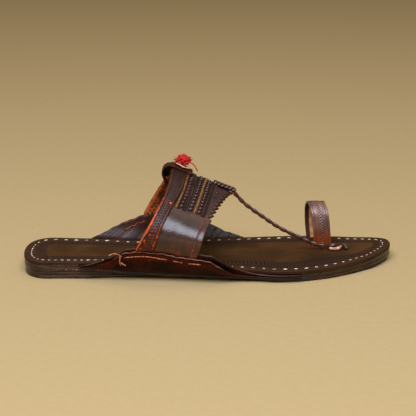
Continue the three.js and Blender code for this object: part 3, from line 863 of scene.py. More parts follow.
class Finishes:
    """Every finish of the sandal, made once."""

    def __init__(self) -> None:
        """Makes the materials."""
        # The footbed is smooth grain, olive-brown with use, darker where it is tooled.
        self.footbed = Leather(
            "burnished_footbed_leather", "#4e3116", "#39230f", rub="#45200f", worn="#6e4626",
            roughness=0.62, coat=0.0, blotch_mm=30, specular=0.1, pattern=Pattern.TOOLED_BORDER,
        ).build()
        # Cut sole leather shows its fibres edge-on, waxed to a dull shine.
        self.sole = Leather(
            "waxed_sole_edge_leather", "#3d2413", "#2b180d", rub="#4c2814", worn="#74462a",
            flesh="#5e3c22", flesh_dark="#351f10", roughness=0.4, coat=0.2, specular=0.4,
            pattern=Pattern.STACKED_EDGE,
        ).build()
        # The ears' outsides are oiled mahogany-red leather, dull with dust.
        # Their greyish raw colour along the outer leaf's top rim is partly the cut edge and partly painted
        # highlight.
        self.ear = Leather(
            "oiled_ear_leather", "#200701", "#160501", rub="#421102", worn="#a8400f",
            flesh="#9a7d6d", flesh_dark="#6b4636", roughness=0.5, coat=0.03, specular=0.07, grain_mm=0.8,
            blotch_mm=24,
        ).build()
        # Their linings have kept a bluish gloss.
        self.lining = Leather(
            "glossy_lining_leather", "#34150b", "#1e0b06", rub="#5a1f0b", worn="#ad481a",
            roughness=0.42, coat=0.06, specular=0.3, grain_mm=0.8,
        ).build()
        # The band is glazed smooth: a broad soft highlight over dark brown.
        # Its raw inside is orange tan, made brighter as painted light because that side lies in shade.
        self.band = Leather(
            "glazed_band_leather", "#371a10", "#26110a", rub="#5c1c09", worn="#a54a22",
            flesh="#bd681f", flesh_dark="#7c390e", roughness=0.28, coat=0.38, coat_roughness=0.22,
            specular=0.42, grain_mm=0.7, grain_depth_mm=0.055,
        ).build()
        # The strap is pressed with a hot tool, then scuffed orange along its edges.
        self.strap = Leather(
            "embossed_strap_leather", "#371811", "#240e09", rub="#5e1d08", worn="#be4c10",
            flesh="#b97a48", flesh_dark="#7d4622", roughness=0.4, coat=0.16, specular=0.22, grain_mm=0.8,
        ).build()
        # The toe loop is the same strap, but its inside has been rubbed to a pale pinkish tan.
        # Its grain side is given a far lighter brown than the strap's, as painted highlight.
        self.loop = Leather(
            "rubbed_loop_leather", "#7a4a3b", "#532d22", rub="#8a3a12", worn="#c4622f",
            flesh="#eab890", flesh_dark="#c68a5e", roughness=0.36, coat=0.75, coat_roughness=0.42,
            grain_mm=0.8,
        ).build()
        # Twisted lace has lost its glaze on its ridges and stays red in its hollows.
        self.lace = Leather(
            "twisted_lace_leather", "#442720", "#261310", rub="#74290f", worn="#96543a",
            roughness=0.3, coat=0.5, coat_roughness=0.22, blotch_mm=5,
        ).build()
        # A cut stub of raw leather is pink-tan and fibrous.
        self.raw = Leather(
            "raw_cut_leather", "#bd8163", "#8f533a", rub="#7a3c22", worn="#e0b092",
            roughness=0.7, coat=0.0, blotch_mm=4,
        ).build()
        # Near-black: painted shade for holes and for the space under the folded tab, and the colour of the
        # dark stitches on the band's flesh side.
        self.hollow = Leather("shaded_hole_leather", "#0b0605", "#050302", roughness=0.7, coat=0.0).build()
        # Waxed cotton thread is off-white, and brown where dirt has got into it.
        self.white_thread = Yarn("waxed_cotton_thread", "#ecdcc6", "#a87c62", 0.7, 0.1, 0.5, 11).build()
        # The ears' thread has taken up the leather's dye.
        self.tan_thread = Yarn("dyed_cotton_thread", "#c5825a", "#8a4a2a", 0.75, 0.1, 0.5).build()
        # Old stitching in the sole's channel has gone red-brown.
        self.rust_thread = Yarn("oiled_sole_thread", "#9a5236", "#5e2c1a", 0.75, 0.1, 0.5).build()
        # Gilt cotton piping is mustard gold, brighter on its raised turns.
        self.piping = Yarn("gilt_cotton_piping", "#94621f", "#5c3811", 0.45, 0.1, 0.7, 2.0, 0.2).build()
        # Wool is bright red and fluffy, with deep shade between its strands.
        self.wool = Yarn("dyed_red_wool", "#dc1a0c", "#8a0a06", 0.9, 0.1, 0.5).build()


def settle(piece: bpy.types.Object, slot: str, *nodes: str) -> bpy.types.Object:
    """Gives a finished piece to the frame.

    Args:
        piece: The piece, in place.
        slot: Not used.
        *nodes: CAD nodes that it stands for.

    Returns:
        The piece.
    """
    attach(piece, BODY)
    if nodes:
        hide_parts(*nodes)
    LOG.info("%s: %d faces", piece.name, len(piece.data.polygons))
    return piece


# ---- Things that repeat: Geometry Nodes -------------------------------------------------------


class Interface:
    """A Geometry Nodes tree with named inputs, and the mesh that it makes on a guide."""

    KINDS = {"Seed": "NodeSocketInt", "Material": "NodeSocketMaterial"}

    def __init__(self, name: str, *inputs: str) -> None:
        """Starts a tree with a geometry input and output and the named inputs, most of them numbers."""
        self.tree = bpy.data.node_groups.new(name, "GeometryNodeTree")
        self.nodes = Nodes(self.tree)
        new_socket = self.tree.interface.new_socket
        for way in ("INPUT", "OUTPUT"):
            new_socket("Geometry", in_out=way, socket_type="NodeSocketGeometry")
        self.ids = {}
        for label in inputs:
            kind = self.KINDS.get(label, "NodeSocketFloat")
            self.ids[label] = new_socket(label, in_out="INPUT", socket_type=kind).identifier
        self.entry = self.nodes.add("NodeGroupInput").outputs

    def random(self, low: object, high: object) -> Socket:
        """A number for each copy, between two bounds, from the tree's seed."""
        inputs = {2: low, 3: high, "Seed": self.entry["Seed"]}
        return self.nodes.out("FunctionNodeRandomValue", inputs, 1, data_type="FLOAT")

    def spun(self, rotation: Socket, angle: Socket) -> Socket:
        """A rotation that is first turned about its own Z axis."""
        twist = self.nodes.out("FunctionNodeAxisAngleToRotation", {"Axis": (0, 0, 1), "Angle": angle})
        inputs = {"Rotation": rotation, "Rotate By": twist}
        return self.nodes.out("FunctionNodeRotateRotation", inputs, rotation_space="LOCAL")

    def copies(self, points: Socket, instance: Socket, rotation: Socket, scale: Socket) -> Socket:
        """An instance on each point."""
        inputs = {"Points": points, "Instance": instance, "Rotation": rotation, "Scale": scale}
        return self.nodes.out("GeometryNodeInstanceOnPoints", inputs)

    def finish(self, instances: Socket) -> None:
        """Ends the tree: instances are realized and given their material."""
        real = self.nodes.out("GeometryNodeRealizeInstances", {0: instances})
        inputs = {0: real, "Material": self.entry["Material"]}
        self.nodes.add("NodeGroupOutput", {0: self.nodes.out("GeometryNodeSetMaterial", inputs)})

    def apply(self, guide: bpy.types.Object, values: dict[str, object]) -> bpy.types.Object:
        """Runs the tree on a guide and turns the result into a plain mesh.

        Args:
            guide: The mesh that the tree starts from; it is removed.
            values: The inputs by their names.

        Returns:
            The finished object, with the guide's name.
        """
        modifier = guide.modifiers.new("repeat", "NODES")
        modifier.node_group = self.tree
        for label, value in values.items():
            modifier[self.ids[label]] = value
        bpy.context.view_layer.update()
        graph = bpy.context.evaluated_depsgraph_get()
        mesh = bpy.data.meshes.new_from_object(guide.evaluated_get(graph), depsgraph=graph)
        guide.modifiers.remove(modifier)
        name = guide.name
        bpy.data.objects.remove(guide)
        mesh.name = name
        for layer in [a.name for a in mesh.attributes if a.name in ("aim", "face", "grow")]:
            mesh.attributes.remove(mesh.attributes[layer])
        for face in mesh.polygons:
            face.use_smooth = True
        return linked(name, mesh)


class GrainRow(Interface):
    """Rice-shaped grains at the corners of a guide, for stitches, knots, near-black grains of painted shade
    in holes, and tooled marks.

    The guide's attributes aim and face give each grain's long way and its upper side, and grow
    its size.
    """

    def __init__(self) -> None:
        """Builds the tree."""
        super().__init__("grain_row", "Length", "Width", "Height", "Yaw", "Uneven", "Seed", "Material")
        nodes, entry = self.nodes, self.entry
        grain = nodes.out("GeometryNodeMeshUVSphere", {"Segments": 10, "Rings": 6, "Radius": 0.5}, "Mesh")
        aim, face = (
            nodes.out("GeometryNodeInputNamedAttribute", {"Name": name}, data_type="FLOAT_VECTOR")
            for name in ("aim", "face")
        )
        grow = nodes.out("GeometryNodeInputNamedAttribute", {"Name": "grow"}, data_type="FLOAT")
        align = "FunctionNodeAlignRotationToVector"
        up = nodes.out(align, {"Vector": face}, axis="Z")
        along = nodes.out(align, {"Rotation": up, "Vector": aim}, axis="X", pivot_axis="Z")
        yaw = self.random(nodes.math("MULTIPLY", entry["Yaw"], -1.0), entry["Yaw"])
        less = nodes.math("SUBTRACT", 1.0, entry["Uneven"])
        more = nodes.math("ADD", 1.0, entry["Uneven"])
        size = nodes.math("MULTIPLY", self.random(less, more), grow)
        sizes = [nodes.math("MULTIPLY", entry[name], size) for name in ("Length", "Width", "Height")]
        scale = nodes.out("ShaderNodeCombineXYZ", dict(enumerate(sizes)))
        self.finish(self.copies(entry["Geometry"], grain, self.spun(along, yaw), scale))

    def lay(
        self,
        name: str,
        points: Array,
        aim: Array,
        face: Array,
        size: Point,
        material: bpy.types.Material,
        yaw_deg: float = 6,
        uneven: float = 0.1,
        seed: int = 1,
        grow: Array | None = None,
    ) -> bpy.types.Object:
        """Lays a row of grains.

        Args:
            name: The piece's name.
            points: Centres, in millimetres.
            aim: Each grain's long direction.
            face: Each grain's upward direction.
            size: Length, width and height of a grain.
            material: Its finish.
            yaw_deg: How far a grain may turn either way.
            uneven: By what share grains differ in size.
            seed: For the turns and the sizes.
            grow: A factor on each grain's size.

        Returns:
            The finished piece.
        """
        mesh = bpy.data.meshes.new(name)
        mesh.from_pydata(((points + SHIFT) * MM).tolist(), [], [])
        for label, values in (("aim", aim), ("face", face)):
            layer = mesh.attributes.new(label, "FLOAT_VECTOR", "POINT")
            spread = np.broadcast_to(values, points.shape)
            layer.data.foreach_set("vector", np.ascontiguousarray(spread, np.float32).ravel())
        growth = np.ones(len(points)) if grow is None else grow
        mesh.attributes.new("grow", "FLOAT", "POINT").data.foreach_set("value", growth.astype(np.float32))
        length, width, height = (side * MM for side in size)
        values = {
            "Length": length, "Width": width, "Height": height, "Yaw": math.radians(yaw_deg),
            "Uneven": uneven, "Seed": seed, "Material": material,
        }
        return self.apply(linked(name, mesh), values)


class WoolTuft(Interface):
    """Bent strands of yarn that grow out of every side of a guide."""

    def __init__(self) -> None:
        """Builds the tree."""
        super().__init__("wool_tuft", "Strand", "Thickness", "Density", "Seed", "Material")
        nodes, entry = self.nodes, self.entry
        spread = nodes.add(
            "GeometryNodeDistributePointsOnFaces",
            {"Mesh": entry["Geometry"], "Density": entry["Density"], "Seed": entry["Seed"]},
        ).outputs
        curl = nodes.out(
            "GeometryNodeCurveQuadraticBezier",
            {"Resolution": 7, "Start": (0, 0, -0.15), "Middle": (0.1, 0, 0.75), "End": (0.62, 0.1, 0.72)},
        )
        ring = nodes.out("GeometryNodeCurvePrimitiveCircle", {"Resolution": 5, "Radius": 1.0}, "Curve")
        thin = nodes.math("DIVIDE", entry["Thickness"], entry["Strand"])
        scale = nodes.out("ShaderNodeCombineXYZ", {0: thin, 1: thin, 2: thin})
        section = nodes.out("GeometryNodeTransform", {"Geometry": ring, "Scale": scale})
        inputs = {"Curve": curl, "Profile Curve": section, "Fill Caps": True}
        strand = nodes.out("GeometryNodeCurveToMesh", inputs)
        turned = self.spun(spread["Rotation"], self.random(0.0, TURN))
        size = nodes.math("MULTIPLY", entry["Strand"], self.random(0.6, 1.15))
        both = nodes.add("GeometryNodeJoinGeometry", {0: entry["Geometry"]})
        nodes.feed(both, {0: self.copies(spread["Points"], strand, turned, size)})
        self.finish(both.outputs[0])


# ---- Sole -------------------------------------------------------------------------------------


Inset = Callable[[Side, Array], Array]


def even(inset: float) -> Inset:
    """The same inset all round a layer."""
    return lambda side, x: np.full_like(x, inset)


class Layer(NamedTuple):
    """A layer of the sole: where it ends, how it is set back, its faces and how finely it is made."""

    name: str
    start: float
    end: float
    count: int
    inset: Inset
    bottom: Curve
    top: Curve
    row_mm: float = 4.0


@dataclass
class SoleStack:
    """Two heel lifts, outsole, midsole and top sole, cut by hand and stitched through."""

    gap: float = 0.07
    lift_split: float = 2.5
    lower_lift_end: float = 84.0
    upper_lift_end: float = 68.0
    outsole_inset: float = 0.25
    midsole_inset: float = 0.35
    lift_inset: float = 0.7
    lip: float = 0.28
    filler_setback: float = 14.0
    lateral_ear_zone: tuple[float, float] = (45.0, 206.6)
    medial_ear_zone: tuple[float, float] = (45.0, 174.6)
    filler_step: float = 0.8
    stitch_inset: float = 5.6
    stitch_pitch: float = 8.0
    heel_stitch_pitch: float = 4.8
    toe_stitch_pitch: float = 5.6
    stitch_size: Point = (3.1, 1.05, 0.8)
    border_start: float = 8.5
    border_end: float = 16.5
    border_widening: float = 8.0
    border_toe_narrowing: float = 4.5
    waist_paring: float = 1.265
    lift_stations: tuple[int, int] = (150, 140)
    layer_stations: int = 320
    footbed_stations: int = 460
    footbed_row_mm: float = 0.75
    footbed_lip: float = 0.6
    stitch_pull: float = 0.45
    dishes: tuple[Spot, ...] = (
        Spot(-0.5, 38, 27, 3, 17), Spot(-0.45, 192, 34, 8, 26), Spot(-0.3, 240, 15, 22, 12),
    )
    # Darker patches on the footbed round the thong and the toe loop.
    stains: tuple[Spot, ...] = (Spot(0.62, 219, 12, 2, 15), Spot(0.3, 236, 10, 30, 12))
    under_stitch_size: Point = (4.6, 1.2, 0.7)
    under_stitches_from: float = 92.0
    side_stitch_size: Point = (1.7, 0.8, 0.6)
    side_stitches: Point = (34.0, 66.0, 2.6)
    side_stitch_drop: float = 1.5

    def stations(self, start: float, end: float, count: int) -> Array:
        """Stations that crowd together at the two rounded ends."""
        return start + (end - start) * (1 - np.cos(np.linspace(0, math.pi, count))) / 2

    def outline(self, inset: float, start: float, end: float, count: int = 700) -> Array:
        """The outline (x, y) of a layer, once round from the heel by the lateral side."""
        x = self.stations(start, end, count)
        lateral, medial = (np.stack([x, LAST.inset_edge(side, x, inset)], 1) for side in Side)
        return np.vstack([lateral, medial[::-1][1:-1]])

    def border_of(self, points: Array, outline: Array) -> tuple[Array, Array]:
        """Measures points against an outline.

        Args:
            points: Points (x, y) of any grid.
            outline: The outline.

        Returns:
            Their distance to it, and how far round it the nearest place is.
        """
        run = run_along(outline)
        flat = points.reshape(-1, 2)
        distance, at = np.empty(len(flat)), np.empty(len(flat))
        batch = 4000
        for first in range(0, len(flat), batch):
            part = slice(first, first + batch)
            squared = ((flat[part, None] - outline[None]) ** 2).sum(2)
            nearest = squared.argmin(1)
            distance[part] = np.sqrt(squared[np.arange(len(nearest)), nearest])
            at[part] = run[nearest]
        return distance.reshape(points.shape[:-1]), at.reshape(points.shape[:-1])

    def rows(self, width: Array, step: float) -> Array:
        """Shares across a layer for each station: close together inside each edge."""
        lip = np.array([0, 0.06, 0.22, 0.45, 0.75, 1.2, 1.9, 2.8])
        count = int(90 / step)
        reach = np.minimum(lip[None] / np.maximum(width[:, None], 1e-6), 0.4 * lip[None] / lip[-1])
        share = np.linspace(0, 1, count)[None]
        inner = reach[:, -1:] + (1 - 2 * reach[:, -1:]) * share
        return np.hstack([reach[:, :-1], inner, 1 - reach[:, :-1][:, ::-1]])

    def faces_of(self, layer: Layer) -> tuple[Array, Array, Array, Array]:
        """Lays out a layer's two faces.

        Args:
            layer: The layer.

        Returns:
            Its upper and lower grids, the distance of each corner to the layer's edge, and how
            far round the edge it is.
        """
        x = self.stations(layer.start, layer.end, layer.count)
        low, high = (LAST.inset_edge(side, x, layer.inset(side, x)) for side in Side)
        y = low[:, None] + (high - low)[:, None] * self.rows(high - low, layer.row_mm)
        grid_x = np.broadcast_to(x[:, None], y.shape)
        edge = np.vstack([np.stack([x, low], 1), np.stack([x, high], 1)[::-1][1:-1]])
        fine = np.linspace(0, 1, 4, endpoint=False)[None, :, None]
        closed = np.vstack([edge, edge[:1]])
        dense = (closed[:-1, None] + (closed[1:] - closed[:-1])[:, None] * fine).reshape(-1, 2)
        border, run = self.border_of(np.stack([grid_x, y], 2), dense)
        border[:, 0] = border[:, -1] = 0
        upper, lower = (
            np.stack([grid_x, y, np.broadcast_to(level(x)[:, None], y.shape)], 2)
            for level in (layer.top, layer.bottom)
        )
        return upper, lower, border, run

    def edged(self, upper: Array, lower: Array, border: Array, lip: float) -> None:
        """Rounds both rims of a layer in place."""
        thickness = upper[..., 2] - lower[..., 2]
        radius = np.minimum(lip, thickness * 0.42)
        fall = eased(border, radius)
        upper[..., 2] -= fall
        lower[..., 2] += fall * 0.7

    def plain_layer(self, layer: Layer, finishes: Finishes) -> None:
        """Builds a layer of which only the edge and the underside show."""
        upper, lower, border, run = self.faces_of(layer)
        self.edged(upper, lower, border, self.lip)
        worn = 0.35 * bell(border, 0, 0.7) * (0.5 + 0.5 * ripple(run, run * 0, 23, 3))
        under = smooth(border, 0.5, 2.5) * 0.75
        none = np.zeros_like(border)
        marks = {"wear": (worn, worn), "rub": (none, none), "flesh": (none, under)}
        settle(sheet(upper, lower, marks).build(layer.name, finishes.sole), "sole_leather", layer.name)

    def filler_inset(self, side: Side, x: Array) -> Array:
        """How far the midsole stands back: far where an ear is rooted beside it."""
        start, end = self.medial_ear_zone if side is Side.MEDIAL else self.lateral_ear_zone
        held = np.minimum(
            smooth(x, start - self.filler_step, start), 1 - smooth(x, end, end + self.filler_step)
        )
        return lerp(self.midsole_inset, self.filler_setback, held)

    def stack(self, finishes: Finishes) -> None:
        """Builds everything below the top sole."""

        def pared(x: Array) -> Array:
            """The lower lift's underside, pared away under the waist."""
            return self.waist_paring * smooth(x, 62, 92)

        gap, toe = self.gap, LAST.length
        lift, long, filler = self.lift_inset, self.outsole_inset, self.midsole_inset
        lower_count, upper_count = self.lift_stations
        for layer in (
            Layer("heel_lift_lower", lift, self.lower_lift_end, lower_count, even(lift), pared,
                  lambda x: np.minimum(self.lift_split, LAST.outsole_bottom(x) - gap)),
            Layer("heel_lift_upper", lift, self.upper_lift_end, upper_count, even(lift),
                  lambda x: np.full_like(x, self.lift_split + gap), lambda x: LAST.outsole_bottom(x) - gap),
            Layer("outsole", long, toe - long, self.layer_stations, even(long),
                  LAST.outsole_bottom, LAST.outsole_top),
            Layer("midsole", filler, toe - filler, self.layer_stations, self.filler_inset,
                  lambda x: LAST.outsole_top(x) + gap, lambda x: LAST.footbed_bottom(x) - gap),
        ):
            self.plain_layer(layer, finishes)

    def pitch_at(self, x: Array, y: Array) -> Array:
        """The spacing of the hand stitches: closer round the outside of the heel and the toe."""
        heel = (1 - smooth(x, 45, 75)) * (1 - smooth(y, 8, 24))
        toe = smooth(x, 232, 258)
        closer_heel = (self.stitch_pitch - self.heel_stitch_pitch) * heel
        return self.stitch_pitch - closer_heel - (self.stitch_pitch - self.toe_stitch_pitch) * toe

    def stitch_line(self, inset: float) -> tuple[Array, Array]:
        """Places of the hand stitches round the sole.

        Args:
            inset: How far inside the edge they run.

        Returns:
            Their centres (x, y) and directions.
        """
        outline = self.outline(0, 0, LAST.length)
        closed = np.vstack([outline, outline[:1]])
        step = np.gradient(closed, axis=0)
        step /= np.maximum(np.linalg.norm(step, axis=1, keepdims=True), 1e-9)
        inward = np.stack([-step[:, 1], step[:, 0]], 1)
        line = closed + inward * inset
        distance, _ = self.border_of(line, outline)
        line = line[distance > inset - 0.08]
        run = run_along(line)
        turns = np.concatenate([[0], np.cumsum(np.diff(run) / self.pitch_at(line[1:, 0], line[1:, 1]))])
        count = int(turns[-1])
        at = np.interp((np.arange(count) + 0.5) * turns[-1] / count, turns, run)

        def along(distance: Array) -> Array:
            """Points of the line at distances along it."""
            return np.stack([np.interp(distance, run, line[:, 0]), np.interp(distance, run, line[:, 1])], 1)

        return along(at), unit(along(at + 0.8) - along(at - 0.8))

    def slashes(self, run: Array, panel: Array) -> Array:
        """How deep the border's two rows of slanted dents are, from 0 to 1."""
        half = np.abs(panel - 0.5)
        turn = run / SLASH_PITCH + half * SLASH_SLANT
        wave = 0.5 - np.abs(turn - np.floor(turn) - 0.5)
        rows = smooth(panel, 0.02, 0.1) * (1 - smooth(panel, 0.9, 0.98)) * smooth(half, 0, 0.07)
        return smooth(wave, 0.2, 0.38) * rows

    def footbed_height(
        self, x: Array, y: Array, border: Array, panel: Array, run: Array
    ) -> Array:
        """How far the footbed's surface lies above or below its flat level.

        Args:
            x: Stations.
            y: Places across.
            border: Distances to the edge.
            panel: 0 at the outside of the tooled border, 1 at its inside.
            run: Distances round the edge.

        Returns:
            Heights in millimetres.
        """
        channel = -0.3 * bell(border, self.stitch_inset, 1.0)
        pillow = 0.12 * bell(border, 3.0, 1.6)
        pressed = -0.22 * smooth(panel, -0.05, 0.05) * (1 - smooth(panel, 0.95, 1.1))
        pressed = pressed - 0.32 * self.slashes(run, panel)
        waves = 0.08 * ripple(x, y, 38, 5) * smooth(border, 4, 12)
        return channel + pillow + pressed + spotted(self.dishes, x, y) + waves

    def top_sole(self, finishes: Finishes) -> None:
        """Builds the top sole with its dished middle, tooled border and stitch channel."""
        levels = (LAST.footbed_bottom, LAST.footbed_top)
        layer = Layer(
            "top_sole", 0, LAST.length, self.footbed_stations, even(0.0), *levels, self.footbed_row_mm
        )
        upper, lower, border, run = self.faces_of(layer)
        x, y = upper[..., 0], upper[..., 1]
        lateral = 1 - smooth(y, -6, 22)
        wide = self.border_widening * smooth(x, 120, 180) * (1 - smooth(x, 222, 262)) * lateral
        narrow = self.border_toe_narrowing * smooth(x, 240, 275)
        panel = (border - self.border_start) / (self.border_end + wide - narrow - self.border_start)
        upper[..., 2] += self.footbed_height(x, y, border, panel, run)
        centres, aims = self.stitch_line(self.stitch_inset)
        half = self.stitch_size[0] / 2
        pull = np.zeros_like(x)
        for px, py in np.vstack([centres + aims * half, centres - aims * half]):
            near = np.abs(x - px) < 3
            pull[near] += np.exp(-((x[near] - px) ** 2 + (y[near] - py) ** 2) / 0.8)
        upper[..., 2] -= self.stitch_pull * np.clip(pull, 0, 1)
        self.edged(upper, lower, border, self.footbed_lip)
        tool = np.clip(0.5 * pull + spotted(self.stains, x, y) + 0.45 * bell(panel, 1.0, 0.05), 0, 1)
        wear = 0.34 * bell(border, 0.2, 0.8) * (0.6 + 0.4 * ripple(run, run * 0, 31, 8))
        rub = 0.32 * bell(border, 1.5, 2.5) + 0.2 * bell(x, 38, 30) * bell(y, 3, 16)
        # The underside needs fewer rows: every sixth, and all of those at the two edges.
        last, ends = x.shape[1] - 1, np.arange(5)
        coarse = np.unique(np.concatenate([np.arange(0, last + 1, 6), ends, last - ends]))
        none = np.zeros_like(x)
        pairs = {"wear": wear, "rub": rub, "tool": tool, "border": panel, "run": run, "flesh": none}
        marks = {name: (values, values[:, coarse]) for name, values in pairs.items()}
        marks["border"] = (panel, np.full_like(panel[:, coarse], 3.0))
        piece = sheet(upper, lower[:, coarse], marks).build(layer.name, finishes.footbed)
        settle(piece, "footbed_leather", layer.name)

    def stitches(self, rows: GrainRow, finishes: Finishes) -> None:
        """Lays the hand stitches on the footbed, their undersides, and the heel's side stitches."""
        centres, aims = self.stitch_line(self.stitch_inset)
        x, y = centres.T
        aim = np.column_stack([aims, np.zeros(len(aims))])
        up = np.array([0, 0, 1.0])
        span = self.stitch_pitch - self.heel_stitch_pitch
        grow = 0.82 + 0.18 * (self.pitch_at(x, y) - self.heel_stitch_pitch) / span
        top = np.column_stack([centres, LAST.footbed_top(x) - 0.12])
        piece = rows.lay(
            "sole_stitches", top, aim, up, self.stitch_size, finishes.white_thread, 9, 0.22, 11, grow
        )
        settle(piece, "cotton_thread")
        ahead = x > self.under_stitches_from
        under = np.column_stack([centres, LAST.outsole_bottom(x) + 0.05])[ahead]
        size, thread = self.under_stitch_size, finishes.rust_thread
        piece = rows.lay("outsole_stitches", under, aim[ahead], -up, size, thread, 5, 0.1, 12)
        settle(piece, "cotton_thread")
        x = np.arange(*self.side_stitches)
        side = LAST.inset_edge(Side.LATERAL, x, self.outsole_inset)
        row = np.column_stack([x, side - 0.32, LAST.outsole_top(x) - self.side_stitch_drop])
        aim, out = np.array([1.0, 0, -0.15]), np.array([0, -1.0, 0])
        piece = rows.lay("heel_side_stitches", row, aim, out, self.side_stitch_size, thread, 20, 0.3, 13)
        settle(piece, "cotton_thread")


# ---- Ears -------------------------------------------------------------------------------------


class Leaf(Enum):
    """An ear's two leaves, with the side of the wall that each lies on."""

    OUTER = 1.0
    LINING = -1.0


@dataclass
class Ear:
    """A flared ear: an outer leaf and a lining, rooted in the sole, with the band between them."""

    side: Side
    gap: float = 0.3
    curved_gap: float = 0.45
    band_thickness: float = 2.0
    root_depth: float = 12.0
    spread_start: float = 0.5
    spread_end: float = 6.5
    columns: int = 210
    thread_drop: float = 3.6
    seam_runs: tuple[tuple[float, float], ...] = ((78, 109), (114, 120.5), (125, 134))
    folds: tuple[Fold, ...] = (
        Fold(-0.35, 66, 2.2), Fold(-0.3, 78, 2.8), Fold(-0.22, 93, 2.0), Fold(-0.35, 116, 2.6),
        Fold(-0.25, 127, 1.8), Fold(-0.28, 137, 2.2),
    )

    def __post_init__(self) -> None:
        """Chooses the ear's table and its wall."""
        self.table = MEDIAL_EAR if self.side is Side.MEDIAL else LATERAL_EAR
        self.wall = WALLS[self.side]
        self.reach = {leaf: table_curve(self.table, "x", leaf.name.lower()) for leaf in Leaf}
        self.word = self.side.name.lower()

    def thickness(self, x: Array) -> Array:
        """A leaf's thickness, as much as the slot between the soles holds."""
        return (LAST.footbed_bottom(x) - LAST.outsole_top(x) - 3 * self.gap) / 2

    def inner_offset(self, along: Array) -> Array:
        """How far a leaf's hidden face is from the wall's middle."""
        spread = smooth(along, self.spread_start, self.spread_end)
        return lerp(self.gap / 2, self.band_thickness / 2 + self.curved_gap, spread)

    def creases(self, x: Array, along: Array) -> Array:
        """Soft troughs and ridges of a leaf: slanting folds that fan up from the sole's edge."""
        fan = x - along * 0.9
        deep = folded(self.folds, fan)
        fine = 0.07 * np.sin(fan * TURN / 3.1 + 0.6 * np.sin(along * 0.5))
        fine = fine + 0.3 * ripple(fan, along * 0.25, 4.2, 48) * smooth(x, 100, 118)
        return (deep + fine) * smooth(along, 2.5, 7) * (1 - smooth(along, 24, 27))

    def leaf(self, leaf: Leaf, finishes: Finishes) -> None:
        """Builds one leaf."""
        outer = leaf is Leaf.OUTER
        reach_at = self.reach[leaf]
        x = SoleStack().stations(self.table[0].x, self.table[-1].x, self.columns)
        uneven = 0.35 * ripple(x, x * 0, 13, 44 if outer else 46) + 0.2 * np.sin(x * 0.9)
        reach = reach_at(x) + uneven * smooth(reach_at(x), 4, 10)
        down = -self.root_depth * (1 - np.linspace(0, 1, 10)[:-1])
        up = edge_steps(1.0, 0.04, 0.035)
        along = np.stack([np.concatenate([down, r * np.concatenate([[0], up[5:]])]) for r in reach])
        x = np.broadcast_to(x[:, None], along.shape)
        thick = self.thickness(x)
        inner = self.inner_offset(along)
        to_top = reach[:, None] - along
        ease = eased(np.clip(to_top, 0, None), thick * 0.48)
        creases = self.creases(x, along) * (0.5 if outer else 1.0)
        wave = 0.25 * ripple(x, along * 2, 33, 9 if outer else 7) * smooth(along, 6, 16)
        climb = self.wall.climb_at(x, along)
        face_out = self.wall.place(x, climb, leaf.value * (inner + thick - ease + creases * 0.6 + wave))
        face_in = self.wall.place(x, climb, leaf.value * (inner + ease + wave))
        none = np.zeros_like(x)
        rim = bell(to_top, 0, 1.1) * smooth(along, 1.5, 4)
        if outer:
            beside_seam = bell(to_top, self.thread_drop + 1.5, 1.6) * bell(x, 96, 24)
            specks = smooth(ripple(x * 0.6, along * 2.2, 9, 14), 0.25, 0.9) * bell(along, 11, 7)
            wear = rim * 0.18 + 0.3 * beside_seam + 0.36 * specks
            rub = 0.4 + 0.16 * ripple(x * 0.45, along * 2.4, 15, 6) + 0.45 * bell(to_top, 4, 3)
        else:
            rear = 1 - smooth(x, 80, 104)
            wear = rim * (0.12 + 0.42 * rear) * (0.6 + 0.4 * ripple(x, x * 0, 9, 12))
            rub = 0.1 + 0.35 * rear * smooth(along, 10, 20)
        # Both leaves are darkened towards the sole's edge: painted shade in the gap at their root.
        tool = (0.95 if outer else 0.5) * (1 - smooth(along, 0.5, 4.5))
        # Along the top rim the raw side shows as a cut edge; on the outer leaf its greyish raw colour is also
        # painted highlight on that edge.
        tall = smooth(reach, 9, 17)[:, None]
        cut = bell(to_top, 0, 0.55) * tall * (0.62 if outer else 0.2)
        marks = {
            "wear": (wear, rim * 0.3), "rub": (rub, rub), "tool": (tool, tool), "flesh": (cut, none + 0.3)
        }
        name = f"ear_{self.word}_{leaf.name.lower()}"
        finish = finishes.ear if outer else finishes.lining
        settle(sheet(face_out, face_in, marks).build(name, finish), "ear_leather", name)

    def on_leaf(self, x: Array, along: Array, leaf: Leaf, lift: float) -> Array:
        """Points just off a leaf's outer face."""
        offset = leaf.value * (self.inner_offset(along) + self.thickness(x) + lift)
        return self.wall.place(x, self.wall.climb_at(x, along), offset)

    def yarn(self, x: Array, along: Array, leaf: Leaf, lift: Array, radius: Array) -> Shape:
        """A thread that lies on a leaf."""
        path = self.on_leaf(x, along, leaf, lift)
        return tube(path, radius, 8, self.on_leaf(x, along, leaf, 1.0) - path)

    def seam_thread(self, finishes: Finishes) -> None:
        """Lays the seam's thread below the top of the outer leaf, with its loose ends behind."""
        shapes = []
        for start, end in self.seam_runs:
            x = np.linspace(start, end, int((end - start) * 3))
            along = self.reach[Leaf.OUTER](x) - self.thread_drop + 0.3 * ripple(x, x * 0, 17, 2)
            lift = 0.1 + 0.12 * np.sin(x * 1.1)
            shapes.append(self.yarn(x, along, Leaf.OUTER, lift, 0.32 + 0.08 * np.sin(x * 2.2)))
        if self.side is Side.LATERAL:
            up = np.array([0.2, -1, 0.3])
            shapes += [tube(through_knots(np.array(end), 8), 0.46, 7, up) for end in self.ends()]
        piece = joined(shapes).build(f"ear_{self.word}_thread", finishes.tan_thread)
        settle(piece, "cotton_thread")

